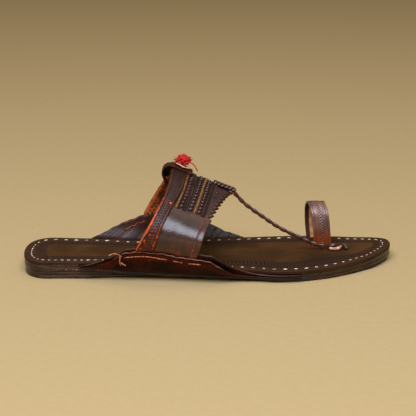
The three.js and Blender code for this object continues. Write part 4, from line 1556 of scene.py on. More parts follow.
    def ends(self) -> list[list[Array]]:
        """Routes of the two loose ends, from the ear's rear edge: one back, one hanging and forked."""
        back = [(77.4, 16.4, 0.2), (75.8, 17.6, 0.6), (74.2, 19.6, 1.3), (71.6, 20.6, 1.9), (69, 20.2, 2.2),
                (66.6, 18.8, 2.4), (65.2, 17.6, 2.4)]
        hang = [(74.8, 20.4, 0.8), (75, 18.6, 1.5), (74.8, 16.2, 2.1), (74.8, 13.8, 2.3), (75.4, 11.6, 2.1),
                (76, 10.2, 1.8)]
        fork = [(74.9, 15.6, 1.9), (75.8, 14, 2.4), (77.4, 12.6, 2.4), (79, 11.6, 2.1), (80, 11.2, 1.9)]
        return [
            [self.on_leaf(np.array([x]), np.array([along]), Leaf.OUTER, lift)[0] for x, along, lift in route]
            for route in (back, hang, fork)
        ]

    def tacking(self, finishes: Finishes) -> None:
        """Lays the tacking thread that shows on the lining, behind the band."""
        x = np.linspace(74, 89, 50)
        along = np.interp(x, [74, 76.5, 80.4, 84.3, 89], [12.6, 14.2, 16.4, 18.9, 19.4])
        along = along + 0.5 * np.sin(x * 1.3)
        shape = self.yarn(x, along, Leaf.LINING, 0.12, 0.38 + 0.08 * np.sin(x * 2.6))
        settle(shape.build(f"ear_{self.word}_tacking", finishes.rust_thread), "cotton_thread")


# ---- Instep band ------------------------------------------------------------------------------


class Trim(NamedTuple):
    """A column of trim on the band: how far across it lies at its top and at its foot."""

    top: float
    foot: float


@dataclass
class InstepBand:
    """The upper: one leather wall, plain below and worked in columns above, pinked in front."""

    thickness: float = 2.0
    start: float = 7.0
    foot_share: float = 0.568
    foot_slope: float = -0.066
    strip: float = 4.4
    tooth_count: int = 9
    tooth_depth: float = 2.5
    tooth_start: float = 0.5
    tooth_end: float = 0.965
    lip: float = 0.8
    crest_height: float = 2.1
    trim_low: float = 0.004
    trim_high: float = 0.985
    rail_shift: float = 0.03
    trim_sink: float = 0.35
    knot_pitch: float = 3.7
    rung_pitch: float = 2.1
    dots: tuple[tuple[float, float], ...] = ((0.85, 0.812), (0.79, 0.822))
    worn_spot: tuple[float, float] = (111.2, 0.565)
    flesh_columns: tuple[float, ...] = (2.8, 5.6, 8.6)
    across_mm: float = 46.0
    climb_mm: float = 90.0
    braids: tuple[Trim, ...] = (Trim(0.335, 0.375), Trim(0.475, 0.55), Trim(0.605, 0.715))
    pipings: tuple[Trim, ...] = (Trim(0.262, 0.288), Trim(0.537, 0.635))
    seams: tuple[Trim, ...] = (
        Trim(0.30, 0.33), Trim(0.385, 0.438), Trim(0.425, 0.475), Trim(0.665, 0.80), Trim(0.69, 0.835),
    )
    ladders: tuple[Trim, ...] = (Trim(0.402, 0.455), Trim(0.678, 0.782))

    def __post_init__(self) -> None:
        """Makes the curves of the band's edges."""
        self.rear = {
            Side.LATERAL: table_curve(BAND_EDGES, "share", "rear_lateral"),
            Side.MEDIAL: table_curve(BAND_EDGES, "share", "rear_medial"),
        }
        self.front = table_curve(BAND_EDGES, "share", "front")
        self.strap_width = table_curve(BAND_EDGES, "share", "strap_width")

    def place(self, side: Side, x: Array, share: Array, offset: Array) -> Array:
        """Points of the band's surface."""
        wall = WALLS[side]
        length = wall.length(x)
        return wall.place(x, lerp(self.start, length, share) / length, offset)

    def x_at(self, side: Side, share: Array, across: Array) -> Array:
        """The station a share of the way from the band's rear edge to its front edge."""
        return lerp(self.rear[side](share), self.front(share), across)

    def foot(self, across: Array) -> Array:
        """The share at which the worked columns end, lower towards the front."""
        return self.foot_share + self.foot_slope * across

    def teeth(self, share: Array) -> Array:
        """How deep the pinked front edge is notched, from 0 to 1."""
        phase = (share - self.tooth_start) / (self.tooth_end - self.tooth_start) * self.tooth_count
        inside = (phase > 0) & (phase < self.tooth_count)
        saw = phase - np.floor(phase)
        notch = np.where(saw < 0.32, saw / 0.32, (1 - saw) / 0.68)
        return np.where(inside, notch, 0)

    def shares(self) -> Array:
        """Rows up one side: even below, and closer where the edge is pinked."""
        low = edge_steps(self.tooth_start * self.climb_mm, self.lip, 1.25) * self.tooth_start
        low = low[low < self.tooth_start - 0.004]
        high = np.linspace(self.tooth_start, self.tooth_end, self.tooth_count * 8 + 1)
        last = np.linspace(self.tooth_end, 1, 6)[1:]
        return np.concatenate([low, high, last])

    def line_at(
        self, trims: Sequence[Trim], across: Array, share: Array, width: float
    ) -> Array:
        """How strongly any of some columns passes through a place, from 0 to 1."""
        total = np.zeros_like(across)
        climb = np.clip((share - self.foot_share) / (1 - self.foot_share), 0, 1)
        for trim in trims:
            off = (across - lerp(trim.foot, trim.top, climb)) * self.across_mm
            total = np.maximum(total, bell(off, 0, width))
        return total * smooth(share - self.foot(across), -0.01, 0.01)

    def crest(self, share: Array, across: Array) -> Array:
        """How far the worked part is pulled up into a low welt along the ridge."""
        reach = smooth(across, 0.26, 0.36) * (1 - smooth(across, 0.72, 0.8))
        lumps = 0.8 + 0.35 * np.sin((across - 0.3) * TURN / 0.17)
        return self.crest_height * smooth(share, 0.93, 1.0) * reach * lumps

    def relief(self, side: Side, x: Array, share: Array, across: Array) -> Array:
        """The band's relief: folds at given places, seams and the strip along its front edge.

        Args:
            side: Which side of the foot.
            x: Stations.
            share: Shares of the way up to the ridge.
            across: Shares of the way from the rear edge to the front edge.

        Returns:
            Heights in millimetres.
        """
        to_front = self.front(share) - x
        over_foot = share - self.foot(across)
        upper = smooth(over_foot, -0.012, 0.012)
        strip = smooth(share, 0.02, 0.06) * (1 - smooth(share, 0.9, 0.97))
        seams = -0.7 * self.line_at(self.seams, across, share, 0.7) + self.crest(share, across)
        step = -0.35 * upper * smooth(across, 0.2, 0.24) * (1 - smooth(across, 0.86, 0.9))
        groove = -0.45 * bell(to_front, self.strip, 0.45) * strip * (1 - 0.75 * upper)
        bulge = 0.7 * bell(share, 0.33, 0.17) * bell(across, 0.55, 0.42)
        folds = (
            -0.3 * bell(share - 0.06 * across, 0.12, 0.035) - 0.22 * bell(share + 0.05 * across, 0.24, 0.03)
            - 0.25 * bell(across + 0.35 * share, 0.62, 0.05) * (1 - smooth(share, 0.3, 0.45))
            - 0.35 * bell(over_foot, -0.02, 0.02)
        )
        inside = smooth(share, self.tooth_start, self.tooth_start + 0.02)
        inside = inside * (1 - smooth(share, self.tooth_end - 0.02, self.tooth_end))
        rolled = 1.15 * bell(to_front, 1.9, 1.3) * (0.45 - self.teeth(share)) * inside
        uneven = 0.12 * ripple(x, share * self.climb_mm, 19, 15 + side.value)
        smooth_part = bulge + folds * smooth(across, 0.18, 0.26) + uneven * (1 - 0.5 * upper)
        return seams + step + groove + smooth_part + rolled

    def body(self, finishes: Finishes) -> None:
        """Builds the band's wall."""
        up = self.shares()
        u = edge_steps(self.across_mm, self.lip, 0.42)
        parts_out, parts_in, marks_out, marks_in = [], [], [], []
        for side, share_row in ((Side.LATERAL, up), (Side.MEDIAL, up[::-1][1:])):
            across, share = np.meshgrid(u, share_row, indexing="ij")
            rear = self.rear[side](share)
            cut = self.front(share) - self.tooth_depth * self.teeth(share)
            x = lerp(rear, cut, across)
            frac = (x - rear) / (self.front(share) - rear)
            to_edge = np.minimum(x - rear, cut - x)
            ease = eased(np.clip(to_edge, 0, None), np.full_like(x, self.lip))
            relief = self.relief(side, x, share, frac)
            half = self.thickness / 2
            parts_out.append(self.place(side, x, share, half - ease + relief))
            parts_in.append(self.place(side, x, share, -half + ease))
            marks_out.append(self.grain_marks(x, share, frac, cut - x))
            marks_in.append(self.flesh_marks(frac))
        outer, inner = np.concatenate(parts_out, 1), np.concatenate(parts_in, 1)
        marks = side_by_side(marks_out, marks_in)
        piece = sheet(outer, inner, marks).build("instep_band", finishes.band)
        settle(piece, "band_leather", "instep_band")

    def grain_marks(self, x: Array, share: Array, frac: Array, to_cut: Array) -> Marks:
        """Where the band's grain side is worn, rubbed, pressed, and darkened as painted shade between the
        pinked teeth.
        """
        to_front = self.front(share) - x
        over_foot = share - self.foot(frac)
        plain = 1 - smooth(over_foot, -0.02, 0.01)
        edge_line = 0.6 * bell(to_front, self.strip + 0.6, 0.75) * (1 - 0.5 * smooth(share, 0.5, 0.62))
        edge_line = edge_line * (1 - smooth(share, 0.7, 0.8))
        rim = 0.5 * bell(to_cut, 0, 0.7)
        low = bell(share, 0.12, 0.12) * plain
        speck = smooth(ripple(x, share * 95, 5.3, 30), 0.55, 0.95) * low * 0.5
        wear = edge_line + rim * (0.4 + 0.6 * plain) + speck
        between = self.line_at(self.braids, frac, share, 2.2) - self.line_at(self.braids, frac, share, 1.3)
        wear = wear + 0.35 * np.clip(between, 0, 1)
        streaks = smooth(0.6 * ripple(x, share * 9, 5.2, 33) + 0.6 * ripple(x, share * 40, 11, 34), 0.1, 0.9)
        streaks = bell(share, 0.16, 0.16) * streaks * plain
        rub = 0.5 * low + 0.75 * streaks + 0.35 * bell(over_foot, 0, 0.05) + 0.12
        tool = np.maximum.reduce([
            0.95 * self.line_at(self.seams, frac, share, 0.75),
            0.85 * self.line_at(self.braids, frac, share, 1.7),
            0.7 * self.line_at(self.ladders, frac, share, 0.9),
            0.7 * bell(to_front, self.strip - 0.3, 0.3) * plain,
            # Darkened notches between the pinked teeth: painted shade.
            0.9 * self.teeth(share) * bell(to_front, 2.6, 1.4),
        ])
        dull = 0.8 * (1 - plain) * (1 - 0.8 * bell(to_front, 1.9, 1.6))
        none = np.zeros_like(x)
        return {"wear": wear, "rub": rub, "tool": np.clip(tool, 0, 1), "flesh": none, "dull": dull}

    def flesh_marks(self, frac: Array) -> Marks:
        """The band's inside is raw leather, darker where the foot has rubbed it."""
        worn = 1.0 - 0.35 * smooth(frac, 0.35, 0.7)
        none = np.zeros_like(frac)
        tool = 0.25 * smooth(frac, 0.3, 0.8)
        return {"wear": none, "rub": none + 0.2, "tool": tool, "flesh": worn, "dull": none}

    def climb_shares(self, trim: Trim, low: float, high: float, count: int) -> Array:
        """Shares up a column, from just above its foot to near the ridge."""
        return np.linspace(float(self.foot(np.array(trim.foot))) + low, high, count)

    def column(self, side: Side, trim: Trim, share: Array, lift: float) -> tuple[Array, Array]:
        """Points up a column of trim, and the way its outside faces."""
        climb = (share - self.foot_share) / (1 - self.foot_share)
        across = lerp(trim.foot, trim.top, climb)
        x = self.x_at(side, share, across)
        level = self.thickness / 2 - self.trim_sink + self.crest(share, across)
        low = self.place(side, x, share, level + lift)
        high = self.place(side, x, share, level + lift + 1)
        return low, high - low

    def cord(self, side: Side, trim: Trim, beside: Trim, radius: float) -> Shape:
        """A thin ridge that runs beside a column of trim, for as long as the column does."""
        share = self.climb_shares(trim, self.trim_low, self.trim_high, 90)
        path, up = self.column(side, beside, share, 0.02)
        return tube(path, radius, 6, up, 0.9)

    def trims(self, rows: GrainRow, finishes: Finishes) -> None:
        """Lays the gilt pipings, the braided laces, near-black grains of painted shade in the holes between
        their knots, and the seam ridges.
        """
        pipes, cords, knots, holes, rungs = [], [], [], [], []
        turn = np.linspace(0, 1, 140)
        swell = 0.86 + 0.09 * np.sin(turn * TURN * 26)
        for side in Side:
            for trim in self.pipings:
                share = self.climb_shares(trim, self.trim_low, self.trim_high, len(turn))
                path, up = self.column(side, trim, share, 0.3)
                pipes.append(tube(path, swell, 8, up, 0.8))
            for trim in self.seams:
                cords.append(self.cord(side, trim, Trim(trim.top - 0.012, trim.foot - 0.014), 0.42))
            for trim in self.braids:
                knots.append(self.knot_places(side, trim, 0.0, 0.45, self.knot_pitch))
                # Near-black grains in the holes between knots: painted shade.
                holes.append(self.knot_places(side, trim, 0.5, 0.1, self.knot_pitch))
                for shift in (-self.rail_shift, self.rail_shift):
                    cords.append(self.cord(side, trim, Trim(trim.top + shift, trim.foot + shift * 1.1), 0.4))
            for trim in self.ladders:
                rungs.append(self.knot_places(side, trim, 0.0, 0.3, self.rung_pitch))
        settle(joined(pipes).build("gold_pipings", finishes.piping), "gold_piping")
        settle(joined(cords).build("braid_rails", finishes.strap), "band_leather")
        for name, places, size, finish, yaw, seed in (
            ("braid_knots", knots, (3.5, 2.4, 2.3), finishes.lace, 7, 31),
            ("braid_holes", holes, (2.2, 2.0, 0.8), finishes.hollow, 20, 32),
            ("ladder_rungs", rungs, (2.0, 0.9, 0.9), finishes.lace, 9, 33),
        ):
            points, aim, face = (np.vstack([place[i] for place in places]) for i in range(3))
            piece = rows.lay(name, points, aim, face, size, finish, yaw, 0.12, seed)
            settle(piece, "band_leather")

    def knot_places(
        self, side: Side, trim: Trim, phase: float, lift: float, pitch: float
    ) -> tuple[Array, Array, Array]:
        """Places of a braid's knots, or of the holes between them.

        Args:
            side: Which side of the foot.
            trim: The braid's column.
            phase: 0 for knots, a half for the holes between them.
            lift: How far their centres stand off the band.
            pitch: Distance from knot to knot.

        Returns:
            Centres, slanting directions and outward directions.
        """
        dense = self.climb_shares(trim, 0.012, 0.975, 400)
        path, _ = self.column(side, trim, dense, 0)
        run = run_along(path)
        at = np.arange(pitch * (0.5 + phase), run[-1] - pitch * 0.4, pitch)
        share = np.interp(at, run, dense)
        points, face = self.column(side, trim, share, lift)
        ahead, _ = self.column(side, trim, share + 0.004, lift)
        climb = unit(ahead - points)
        sideways = np.cross(face, climb)
        return points, climb * 0.75 + sideways * 0.62 * side.value, face

    def studs(self, rows: GrainRow, finishes: Finishes) -> None:
        """Lays the two raised dots ahead of the columns, and the one beside the strap."""
        points, faces = [], []
        for side in Side:
            for place in self.dots:
                share, across = (np.array([part]) for part in place)
                x = self.x_at(side, share, across)
                low, high = (self.place(side, x, share, np.array([lift]))[0] for lift in (1.1, 2.1))
                points.append(low)
                faces.append(high - low)
        aim = np.array([1.0, 0, 0])
        x, share = (np.array(part) for part in self.worn_spot)
        low, high = (self.place(Side.LATERAL, x, share, np.array(lift)) for lift in (3.0, 4.0))
        spot = (2.0, 1.5, 0.8)
        worn = rows.lay("strap_worn_spot", low[None], aim, (high - low)[None], spot, finishes.tan_thread)
        settle(worn, "strap_leather")
        piece = rows.lay(
            "band_dots", np.array(points), aim, np.array(faces), (1.7, 1.6, 1.2), finishes.lace, 10, 0.1, 41
        )
        settle(piece, "band_leather")

    def flesh_stitches(self, rows: GrainRow, finishes: Finishes) -> None:
        """Lays the three columns of dark stitches that come through behind the rear strap."""
        points, aims, faces = [], [], []
        for side in Side:
            for into in self.flesh_columns:
                share = np.linspace(0.2, 0.95, 25) + 0.006 * (into > 4)
                x = self.rear[side](share) + into
                low = self.place(side, x, share, np.full_like(x, -1.02))
                high = self.place(side, x, share, np.full_like(x, -2.0))
                points.append(low)
                aims.append(np.gradient(low, axis=0) + np.array([0.9, 0, 0]))
                faces.append(high - low)
        piece = rows.lay(
            "strap_flesh_stitches", np.vstack(points), np.vstack(aims), np.vstack(faces), (2.2, 1.2, 0.6),
            finishes.hollow, 25, 0.25, 42,
        )
        settle(piece, "cotton_thread")


# ---- Rear strap and crown ---------------------------------------------------------------------


@dataclass
class RearStrap:
    """The proud strap along the band's rear edge, ribbed above and dotted below."""

    band: InstepBand
    inner: float = 1.45
    thickness: float = 1.5
    above_ear: float = 1.0
    lip: float = 0.6
    rib_pitch: float = 1.9
    line_inset: float = 2.1
    ribs_start: float = 0.56
    ribs_full: float = 0.6
    across_mm: float = 10.0
    climb_mm: float = 85.0

    def start_share(self, side: Side, u: Array) -> Array:
        """How far up the strap begins: just above the ear's outer leaf."""
        reach = table_curve(LATERAL_EAR if side is Side.LATERAL else MEDIAL_EAR, "x", "outer")
        share = np.zeros_like(u)
        for _ in range(6):
            x = self.band.rear[side](share) + self.band.strap_width(share) * u
            along = reach(x) + self.above_ear - self.band.start
            share = along / (WALLS[side].length(x) - self.band.start)
        return share

    def tooling(
        self, across: Array, width: Array, share: Array, run: Array
    ) -> Array:
        """How deep the strap is pressed, from 0 to 1.

        Args:
            across: Millimetres from its rear edge.
            width: Its width there.
            share: The share of the way up.
            run: Millimetres up the strap.

        Returns:
            The depth.
        """
        inset = self.line_inset
        lines = np.maximum(bell(across, inset, 0.28), bell(width - across, inset, 0.28))
        inside = smooth(across, inset + 0.3, inset + 0.7) * smooth(width - across, inset + 0.3, inset + 0.7)
        rib = 0.5 - 0.5 * np.cos(run * TURN / self.rib_pitch)
        ribbed = smooth(share, self.ribs_start, self.ribs_full)
        ribs = rib**1.5 * inside * ribbed
        dash = smooth(np.sin(run * TURN / 2.1), 0.05, 0.5)
        columns = np.maximum(bell(across, width * 0.40, 0.55), bell(across, width * 0.62, 0.55))
        dots = columns * dash * (1 - ribbed)
        return np.clip(np.maximum.reduce([lines, ribs, dots]), 0, 1)

    def body(self, finishes: Finishes) -> None:
        """Builds the strap."""
        u = edge_steps(self.across_mm, self.lip, 0.3)
        climb = np.linspace(0, 1, 270)
        outer, inner, out_marks, in_marks = [], [], [], []
        for side in Side:
            rising = climb if side is Side.LATERAL else climb[::-1][1:]
            start = self.start_share(side, u)
            share = start[:, None] + (1 - start[:, None]) * rising[None]
            width = self.band.strap_width(share)
            across = u[:, None] * width
            x = self.band.rear[side](share) + across
            run = lerp(self.band.start, WALLS[side].length(x), share)
            to_edge = np.minimum(across, width - across)
            to_end = (share - start[:, None]) * self.climb_mm
            ease = eased(np.minimum(to_edge, to_end), np.full_like(x, self.lip))
            tool = self.tooling(across, width, share, run)
            crown = 0.25 * np.sin(np.clip(across / width, 0, 1) * math.pi)
            proud = self.inner + self.thickness - ease + crown - 0.36 * tool
            outer.append(self.band.place(side, x, share, proud))
            inner.append(self.band.place(side, x, share, self.inner + ease * 0.6))
            low = 1 - smooth(share, 0.3, 0.6)
            torn = 0.55 + 0.45 * ripple(run, across * 2, 7, 51)
            rear_edge = bell(across, 0.2, 0.75) * (0.75 - 0.32 * smooth(share, 0.5, 0.75))
            rear_edge = rear_edge + 0.9 * bell(across, 0.8, 2.0) * low * torn
            front_edge = bell(width - across, 1.6, 0.5) * (0.3 + 0.4 * low) * (0.45 + 0.55 * torn)
            foot = 1 - smooth(share, 0.14, 0.26)
            patches = 0.6 * low * smooth(ripple(run, across * 3, 5.5, 52), 0.25, 1.0) * (1 - 0.8 * foot)
            rear_edge = rear_edge * (1 - 0.35 * foot)
            wear = rear_edge + front_edge + patches
            rub = 0.1 + 0.45 * low + 0.4 * bell(share, 0.56, 0.06)
            none = np.zeros_like(x)
            out_marks.append({"wear": wear, "rub": rub, "tool": tool * 0.9, "flesh": none})
            in_marks.append({"wear": none, "rub": none, "tool": none, "flesh": none + 0.8})
        shape = sheet(np.concatenate(outer, 1), np.concatenate(inner, 1), side_by_side(out_marks, in_marks))
        settle(shape.build("rear_strap", finishes.strap), "strap_leather", "rear_strap")


@dataclass
class Crown:
    """What sits on the ridge: a keeper with its folded tab, a raw washer, the tuft and a plait."""

    keeper_rear: float = 110.0
    keeper_front: float = 126.0
    keeper_half: float = 4.5
    keeper_offset: float = 3.4
    keeper_thickness: float = 1.6
    keeper_lip: float = 0.7
    tab_width: float = 9.0
    tab_thickness: float = 1.5
    tab_lip: float = 0.5
    washer_x: float = 118.2
    washer_down: float = -1.0
    washer_reach: tuple[float, float] = (5.6, 4.4)
    washer_level: float = 5.0
    washer_thickness: float = 0.9
    plait_rear: float = 143.0
    plait_front: float = 158.4
    scallop_pitch: float = 2.3
    plait_turns: float = 1.9
    tuft: Point = (TUFT_X, TUFT_Y, 81.9)
    tuft_size: Point = (11.4, 10.5, 8.0)
    tuft_fill: float = 0.78
    wool_radius: float = 0.42

    def over_ridge(self, x: Array, down: Array, offset: Array) -> Array:
        """Points near the ridge: down is negative on the lateral side, positive on the medial."""
        result = np.empty((*x.shape, 3))
        for side in Side:
            wall = WALLS[side]
            here = down <= 0 if side is Side.LATERAL else down > 0
            length = wall.length(x)
            points = wall.place(x, (length - np.abs(down)) / length, np.broadcast_to(offset, x.shape))
            result[here] = points[here]
        return result

    def keeper(self, finishes: Finishes) -> None:
        """Builds the keeper: a short strap over the crown, waved along its edges."""
        length, width = self.keeper_front - self.keeper_rear, 2 * self.keeper_half
        u = edge_steps(length, self.keeper_lip, 0.45)
        v = edge_steps(width, self.keeper_lip, 0.4)
        along, across = np.meshgrid(u, v, indexing="ij")
        x = lerp(self.keeper_rear, self.keeper_front, along)
        down = lerp(-self.keeper_half, self.keeper_half, across)
        to_edge = np.minimum(np.minimum(along, 1 - along) * length, np.minimum(across, 1 - across) * width)
        ease = eased(to_edge, np.full_like(x, self.keeper_lip))
        wave = 0.3 * ripple(x, down, 7.5, 61)
        notch = np.cos(x * TURN / self.scallop_pitch)
        scallop = 0.22 * notch * smooth(np.abs(down), 2.4, 4.3)
        top = self.over_ridge(x, down, self.keeper_offset + self.keeper_thickness - ease + wave + scallop)
        low = self.over_ridge(x, down, self.keeper_offset + ease * 0.7)
        tool = smooth(-notch, 0.2, 0.9) * smooth(np.abs(down), 2.0, 3.2) * 0.7
        wear = 0.3 * bell(to_edge, 0, 0.6)
        none = np.zeros_like(x)
        marks = {
            "wear": (wear, none), "rub": (none + 0.1, none), "tool": (tool, none),
            "flesh": (none, none + 0.6), "dull": (none + 0.5, none),
        }
        piece = sheet(top, low, marks).build("crown_loop", finishes.strap)
        settle(piece, "strap_leather", "crown_loop")

    def tab(self, finishes: Finishes) -> None:
        """Builds the keeper's end, folded down behind the strap, with its inner face darkened and a
        near-black tube behind it as painted shade for the dark hollow there.
        """
        route = np.array([
            [116, 9, 74.5], [113, 8.6, 77.4], [109.5, 8.6, 78.2], [106.4, 9.2, 76.2], [105.0, 10.2, 72.6],
            [105.4, 11.2, 69.0], [106.8, 12.2, 65.6], [108.4, 13.2, 62.8], [110, 14, 60],
        ])
        path = through_knots(route, 9)
        width = np.interp(np.linspace(0, 1, len(path)), [0, 0.3, 0.7, 1], [8.6, 9.4, 8.4, 7.0])
        flat = np.array([0.0, 1.0, 0.0])
        across = edge_steps(self.tab_width, self.tab_lip, 0.6)
        tangent, _, _ = path_frames(path, np.array([0.0, 0.35, 1.0]))
        out = unit(np.cross(tangent, np.broadcast_to(flat, tangent.shape)))
        inside = np.array([109.0, 10.0, 70.0])
        out *= np.sign(np.einsum("ij,ij->i", out, path - inside))[:, None]
        to_edge = np.minimum(across, 1 - across) * self.tab_width
        ease = eased(to_edge, np.full_like(across, self.tab_lip))
        base = path[:, None] + (across[None, :, None] - 0.5) * width[:, None, None] * flat
        swell = out[:, None] * (self.tab_thickness / 2 - ease[None, :, None])
        outer, inner = base + swell, base - swell
        none = np.zeros(outer.shape[:2])
        rim = np.broadcast_to(bell(to_edge, 0, 0.7)[None], none.shape)
        # The tab's inner face is darkened strongly: painted shade under the fold.
        marks = {
            "wear": (0.3 * rim, none), "rub": (none + 0.3, none), "tool": (none + 0.25, none + 0.7),
            "flesh": (none, none), "dull": (none + 0.75, none + 0.9),
        }
        settle(sheet(outer, inner, marks).build("crown_tab", finishes.strap), "strap_leather")
        # A near-black tube behind the tab: painted shadow for the dark space under it.
        core = [(115, 13, 75.2), (112.6, 13, 76.4), (109.6, 13, 76.6), (107.2, 13.2, 74.6),
                (106.4, 13.6, 71.6), (106.9, 14.2, 68.6), (108, 15, 66)]
        plug = tube(through_knots(np.array(core), 8) + np.array([1.6, 1.2, -0.6]), 2.5, 12, flat, 0.45)
        settle(plug.build("crown_tab_hollow", finishes.hollow), "strap_leather")

    def washer(self, finishes: Finishes) -> None:
        """Builds the raw leather washer that shows as a pale crescent under the tuft."""
        angle = np.linspace(0, TURN, 49)[:-1]
        rings = np.array([0.02, 0.3, 0.55, 0.75, 0.88, 0.96, 1.0])
        spin, reach = np.meshgrid(angle, rings, indexing="ij")
        ragged = 1 + 0.07 * np.sin(spin * 7 + 0.6) + 0.04 * np.sin(spin * 12)
        x = self.washer_x + self.washer_reach[0] * reach * ragged * np.cos(spin)
        down = self.washer_down + self.washer_reach[1] * reach * ragged * np.sin(spin)
        curl = 1.5 * smooth(reach, 0.5, 1.0) * smooth(-np.sin(spin), -0.3, 0.8)
        ease = eased((1 - reach) * 5, np.full_like(reach, 0.45))
        top = self.over_ridge(x, down, self.washer_level + self.washer_thickness + curl - ease)
        low = self.over_ridge(x, down, self.washer_level + curl + ease * 0.7)

        def closed(grid: Array) -> Array:
            """A grid whose last row is its first again."""
            return np.concatenate([grid, grid[:1]], 0)

        none = np.zeros((len(angle) + 1, len(rings)))
        wear = closed(0.25 + 0.75 * smooth(reach, 0.6, 0.95))
        marks = {"wear": (wear, wear), "rub": (none, none), "tool": (none, none), "flesh": (none, none)}
        piece = sheet(closed(top), closed(low), marks).build("crown_washer", finishes.raw, 0.01)
        settle(piece, "raw_leather")

    def wool(self, finishes: Finishes) -> None:
        """Builds the red tuft: lumps of yarn with curled strands, and one strand that has strayed."""
        work = bmesh.new()
        rng = np.random.default_rng(71)
        lumps = [
            (-0.26, -0.10, -0.05, 0.60), (0.22, -0.14, 0.02, 0.58), (0.0, 0.16, 0.05, 0.62),
            (-0.06, -0.18, 0.24, 0.46), (0.34, 0.08, -0.14, 0.40), (-0.34, 0.1, -0.20, 0.38),
            (0.1, -0.3, -0.22, 0.4),
        ]
        spread = np.array(self.tuft_size) * self.tuft_fill
        for *centre, size in lumps:
            for vert in bmesh.ops.create_icosphere(work, subdivisions=2, radius=0.5)["verts"]:
                lump = vert.co * size * (1 + float(rng.uniform(-0.08, 0.08)))
                vert.co = ((np.array(lump) + centre) * spread + self.tuft + SHIFT) * MM
        mesh = bpy.data.meshes.new("pompom")
        work.to_mesh(mesh)
        work.free()
        values = {
            "Strand": 2.3 * MM, "Thickness": self.wool_radius * MM, "Density": 9.0e5, "Seed": 5,
            "Material": finishes.wool,
        }
        tuft = WoolTuft().apply(linked("pompom", mesh), values)
        settle(tuft, "red_wool", "pompom")
        stray = np.array([
            [120, 7, 79], [123.5, 5.5, 80.5], [126.6, 5.2, 80.2], [128.8, 5.2, 78.2], [130.4, 5.3, 75.6],
            [131.3, 5.4, 73.8], [132, 5.5, 72],
        ])
        strand = tube(through_knots(stray, 8), self.wool_radius, 6, np.array([0.0, -1, 0.2]))
        settle(strand.build("wool_strand", finishes.wool), "red_wool")

    def plait(self, finishes: Finishes) -> None:
        """Builds the plaited roll along the ridge: three strands that weave across each other."""
        x = np.linspace(self.plait_rear, self.plait_front, 150)
        share = (x - self.plait_rear) / (self.plait_front - self.plait_rear)
        strands = []
        for third in range(3):
            phase = share * self.plait_turns * TURN + third * TURN / 3
            down = 1.3 * np.sin(phase)
            offset = 2.7 + 1.0 * np.cos(phase)
            path = self.over_ridge(x, down, offset)
            up = self.over_ridge(x, down, offset + 1) - path
            strand = tube(path, 1.2 + 0.12 * np.sin(phase * 1.7), 10, up, 0.85)
            strand.marks["rub"] = np.full(len(strand.corners), 0.1 + 0.15 * third)
            strands.append(strand)
        settle(joined(strands).build("ridge_strip", finishes.lace), "strap_leather", "ridge_strip")

    def make(self, finishes: Finishes) -> None:
        """Builds the whole crown."""
        self.keeper(finishes)
        self.tab(finishes)
        self.washer(finishes)
        self.wool(finishes)
        self.plait(finishes)


# ---- Thong and toe loop -----------------------------------------------------------------------


